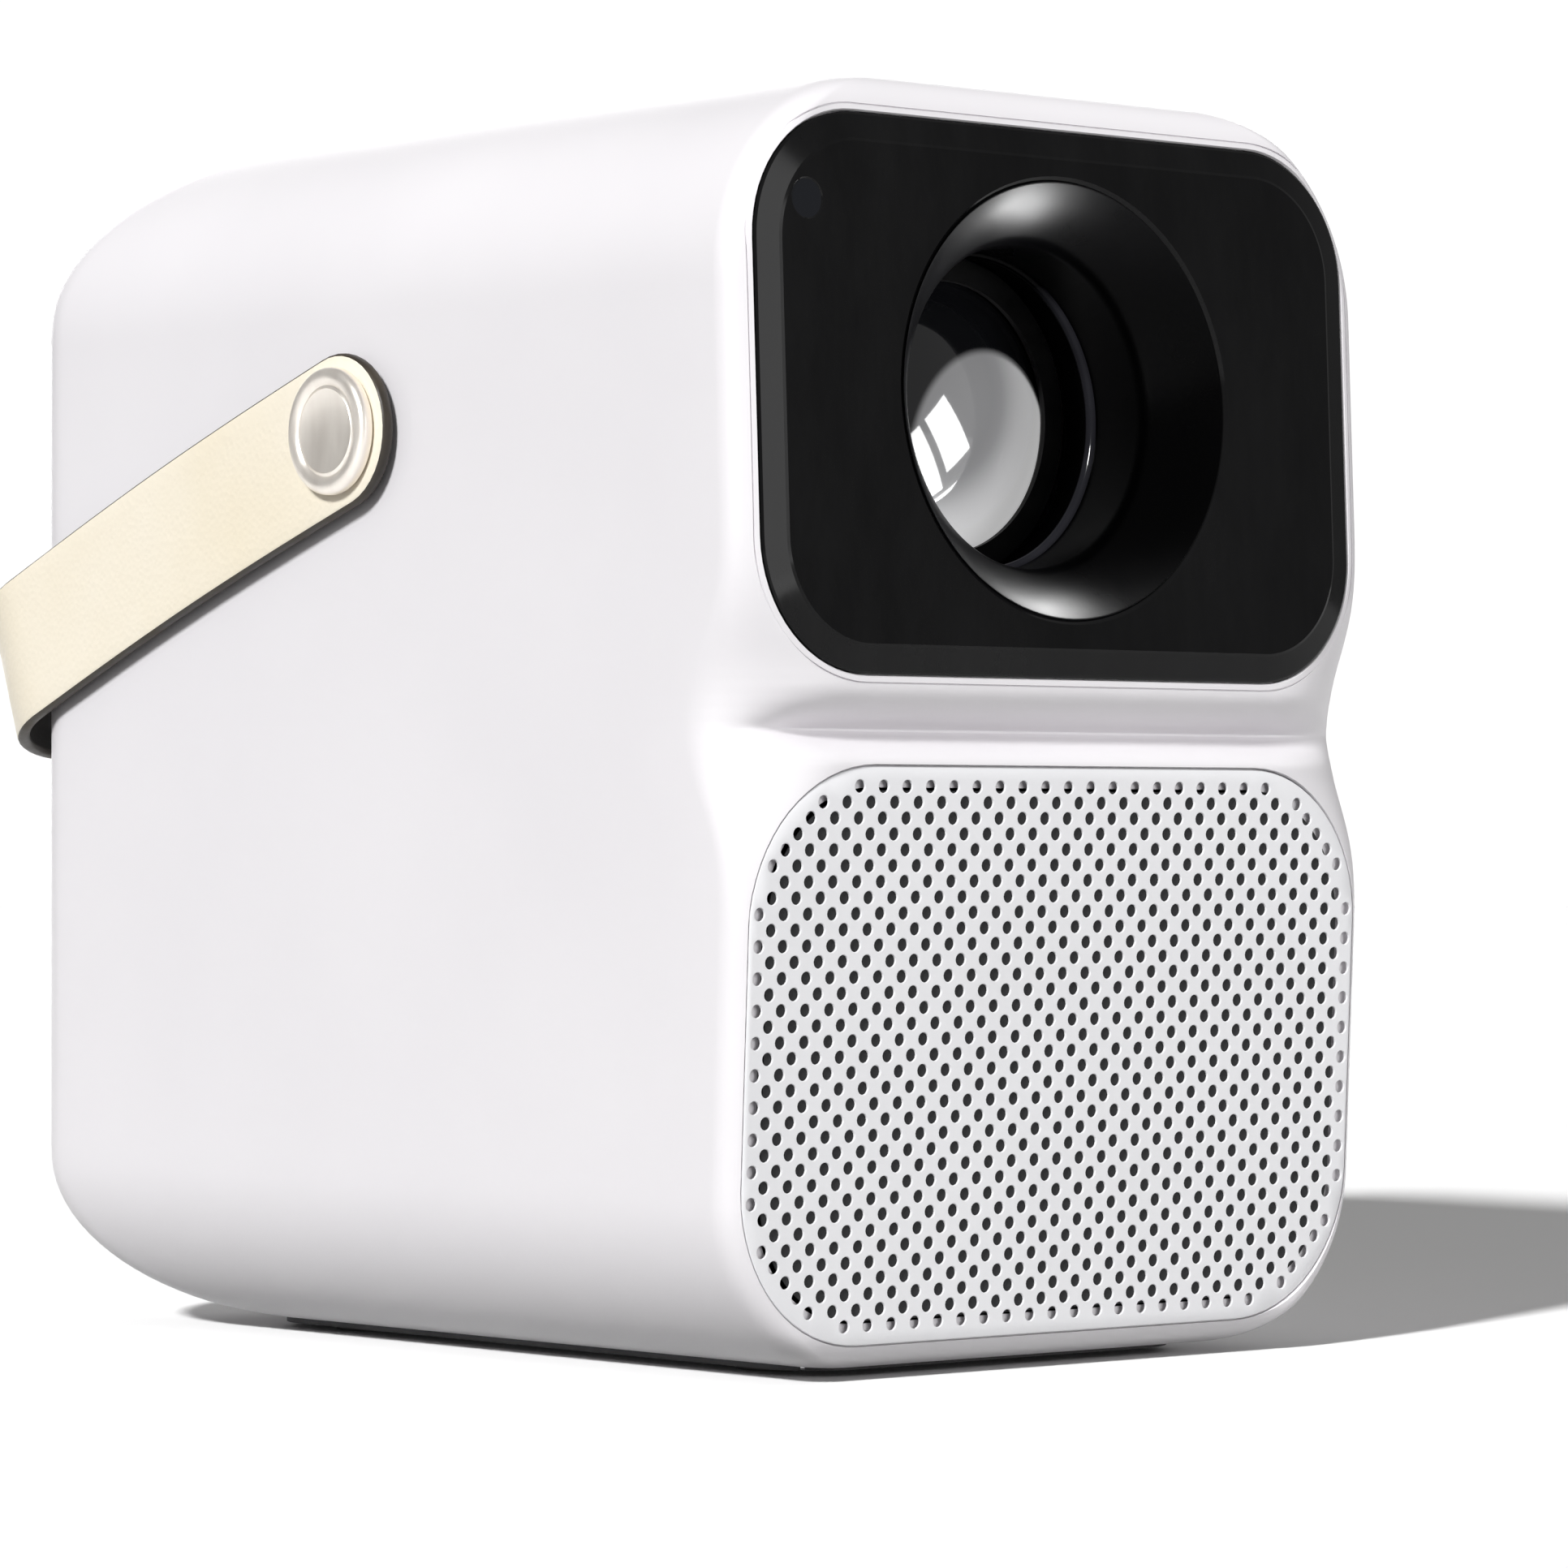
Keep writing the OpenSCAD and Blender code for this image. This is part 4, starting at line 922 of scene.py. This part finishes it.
def screws(name, source, centres, place):
    """Pan-head screws with a hexagon socket. place maps a centre and (x, depth, y) to the frame."""
    n = 24
    hexagon = []
    for k in range(n):
        a = 360 / n * k
        r = SOCKET_R * math.cos(math.radians(30)) / math.cos(math.radians((a % 60) - 30))
        hexagon.append((r * math.cos(math.radians(a)), r * math.sin(math.radians(a))))
    shank, rim = circle(SCREW_R, n), circle(SCREW_HEAD_R, n)
    steps = [(shank, SCREW_LENGTH), (shank, SCREW_HEAD_T), (rim, SCREW_HEAD_T), (rim, 0.45)]
    steps += [(circle(SCREW_HEAD_R - 0.2, n), 0.12), (circle(SCREW_HEAD_R - 0.5, n), 0.0)]
    steps += [(hexagon, 0.0), (hexagon, SOCKET_DEPTH)]

    def screw(centre):
        return loft([[place(centre, x, d, y) for x, y in loop] for loop, d in steps])

    piece(name, joined(map(screw, centres)), ["screw_steel"], [source], sharp=30)


def all_screws():
    signs = [(a, b) for a in (-1, 1) for b in (-1, 1)]
    base = [(a * BASE_SCREW_X, BASE_Y + b * BASE_SCREW_Y) for a, b in signs]
    rear = [(a * REAR_SCREW_X, REAR_Z + b * REAR_SCREW_Z) for a, b in signs]

    def in_base(centre, x, d, y):
        return at(centre[0] + x, centre[1] + y, BASE_SCREW_SINK + d)

    def in_rear(centre, x, d, y):
        return at(centre[0] + x, DEPTH - REAR_SCREW_SINK - d, centre[1] + y)

    screws("base_socket_screws", "base_screws", base, in_base)
    screws("rear_socket_screws", "rear_screws", rear, in_rear)


def softened(name, source, width):
    """A copy of a CAD node, its sharp edges rounded by width in mm, which stands for that node."""
    cad = frame["nodes"][source]
    obj = added(name, cad.data.copy())
    tidy(obj, 35, width)
    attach(obj, cad["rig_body"])
    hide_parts(source)
    return obj


def coil_spring():
    """The spring under the power button, as a copy of the CAD's spring with a mesh of its own."""
    spring = softened("coil_spring", "button_spring", 0)
    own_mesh(spring)


outer_casing()
front_window()
funnel = lens_funnel()
throat = throat_ring()
lens = front_element()
speaker_grille()
grille_cloth()
carry_strap()
strap_buttons()
all_screws()
softened("rear_vent_cover", "rear_cover", 0.35)
softened("base_tray", "base_plate", 0.3)
softened("grip_feet", "rubber_feet", 0.4)
softened("top_button", "power_button", 0.4)
coil_spring()

# ---- floor, backdrop, light and camera ----

FLOOR_REACH, DOME_R = 6, 7

# The camera's place in mm, its turn to the right in degrees, its lens in mm and its shift
CAMERA_AT, CAMERA_TURN, CAMERA_LENS, CAMERA_SHIFT = (-722.9, -760.5, 89.4), 40.92, 143.5, 0.034


def backdrop():
    """A pale floor that throws no light up, and a plain white dome that only the camera sees."""
    r = FLOOR_REACH
    corners = [(-r, -r, 0), (r, -r, 0), (r, r, 0), (-r, r, 0)]
    floor = added("floor", mesh_of("floor", corners, [(0, 1, 2, 3)]))
    grey, paler, rough = (0.88, 0.88, 0.88), (0.90, 0.90, 0.90), (0.7, 0.8)
    floor.data.materials.append(finish("floor_white", grey, paler, rough, 2, 60, 0.0001))
    floor.visible_diffuse = False
    glow = bpy.data.materials.new("backdrop_white")
    glow.use_nodes = True
    glow.node_tree.nodes.clear()
    emission = node(glow, "ShaderNodeEmission", {"Strength": 1.05}).outputs["Emission"]
    node(glow, "ShaderNodeOutputMaterial", {"Surface": emission})
    b = bmesh.new()
    bmesh.ops.create_uvsphere(b, u_segments=48, v_segments=24, radius=DOME_R)
    dome = added("dome", bpy.data.meshes.new("dome"))
    b.to_mesh(dome.data)
    b.free()
    dome.data.materials.append(glow)
    dome.visible_diffuse = dome.visible_glossy = False
    dome.visible_transmission = dome.visible_shadow = False
    return floor


def lamp(name, kind, power, azimuth, elevation, size, target=(0, 0, 0), away=1, only=(), never=()):
    """A light that looks at target from away metres, and lights only some objects, or never some.

    Azimuth 0 is in front of the projector, and 90 is on the camera's side. The size is a sun's
    angle, or an area's width and height.
    """
    data = bpy.data.lights.new(name, kind)
    data.energy = power
    if kind == "SUN":
        data.angle = math.radians(size)
    else:
        data.shape, data.size, data.size_y = "RECTANGLE", *size
    light = added(name, data)
    a, e = math.radians(azimuth), math.radians(elevation)
    direction = Vector((-math.sin(a) * math.cos(e), -math.cos(a) * math.cos(e), math.sin(e)))
    light.location = Vector(target) + direction * away
    light.rotation_euler = direction.to_track_quat("Z", "Y").to_euler()
    light.visible_camera = False
    if only or never:
        group = bpy.data.collections.new(name + "_objects")
        for obj in only or never:
            group.objects.link(obj)
        for row in group.collection_objects:
            row.light_linking.link_state = "INCLUDE" if only else "EXCLUDE"
        light.light_linking.receiver_collection = group
    return light


def sky():
    """A plain soft world, brighter above the horizon than under it."""
    world = bpy.data.worlds.new("studio")
    world.use_nodes = True
    direction = node(world, "ShaderNodeTexCoord").outputs["Generated"]
    up = node(world, "ShaderNodeSeparateXYZ", {"Vector": direction}).outputs["Z"]
    levels = {"Value": up, "From Min": -0.3, "From Max": 0.1, "To Min": 0.17, "To Max": 0.31}
    strength = node(world, "ShaderNodeMapRange", levels).outputs["Result"]
    background = world.node_tree.nodes["Background"]
    background.inputs["Color"].default_value = (1, 0.995, 0.99, 1)
    world.node_tree.links.new(strength, background.inputs["Strength"])
    bpy.context.scene.world = world


def studio(floor):
    """Key light from the camera's side, soft fills, and lamps that the funnel and lens mirror."""
    middle, mouth = at(0, DEPTH / 2, TOP / 2), at(0, 0, LENS_Z)
    barrel = frame["nodes"]["lens_barrel"]
    dark = [funnel, throat, barrel]
    lamp("key", "SUN", 3.0, 69, 30, 12, never=[floor, *dark])
    lamp("floor_key", "SUN", 6.2, 69, 28, 5, only=[floor])
    lamp("front_fill", "AREA", 17, -12, 9, (1.2, 1.2), middle, 2.0, never=[floor, lens, *dark])
    lamp("back_fill", "AREA", 30, -145, 6, (1.6, 1.6), middle, 2.2, never=[floor])
    # Cards that the black funnel mirrors
    lamp("low_card", "AREA", 7, -88, -34, (0.2, 0.12), mouth, 0.26, only=[funnel])
    lamp("high_card", "AREA", 3.2, -88, 37, (0.14, 0.08), mouth, 0.3, only=[funnel])
    lamp("spot_card", "AREA", 14, 46, 28, (0.06, 0.06), mouth, 0.35, only=[throat])
    # Window panes that the lens mirrors: place across and up, width and height, in a tilted frame
    panes = ((-0.044, 0, 0.07, 0.13), (0.044, 0.01, 0.07, 0.11), (0, -0.088, 0.16, 0.03))
    tilt, power = math.radians(40), 45
    cos, sin = math.cos(tilt), math.sin(tilt)
    for k, (u, v, w, h) in enumerate(panes):
        pane = lamp(f"pane_{k}", "AREA", power * w * h, -36, -8, (w, h), mouth, 0.3, only=[lens])
        shift = Vector((u * cos - v * sin, u * sin + v * cos, 0))
        pane.location += pane.rotation_euler.to_matrix() @ shift
        pane.rotation_euler.rotate_axis("Z", tilt)


def camera():
    data = bpy.data.cameras.new("camera")
    data.lens, data.sensor_width, data.shift_y = CAMERA_LENS, 36, CAMERA_SHIFT
    data.clip_start, data.clip_end = 0.01, 50
    view = added("camera", data)
    view.location = at(*CAMERA_AT)
    view.rotation_euler = (math.radians(90), 0, math.radians(-CAMERA_TURN))
    bpy.context.scene.camera = view


sky()
studio(backdrop())
camera()
bpy.context.scene.view_settings.view_transform = "Standard"
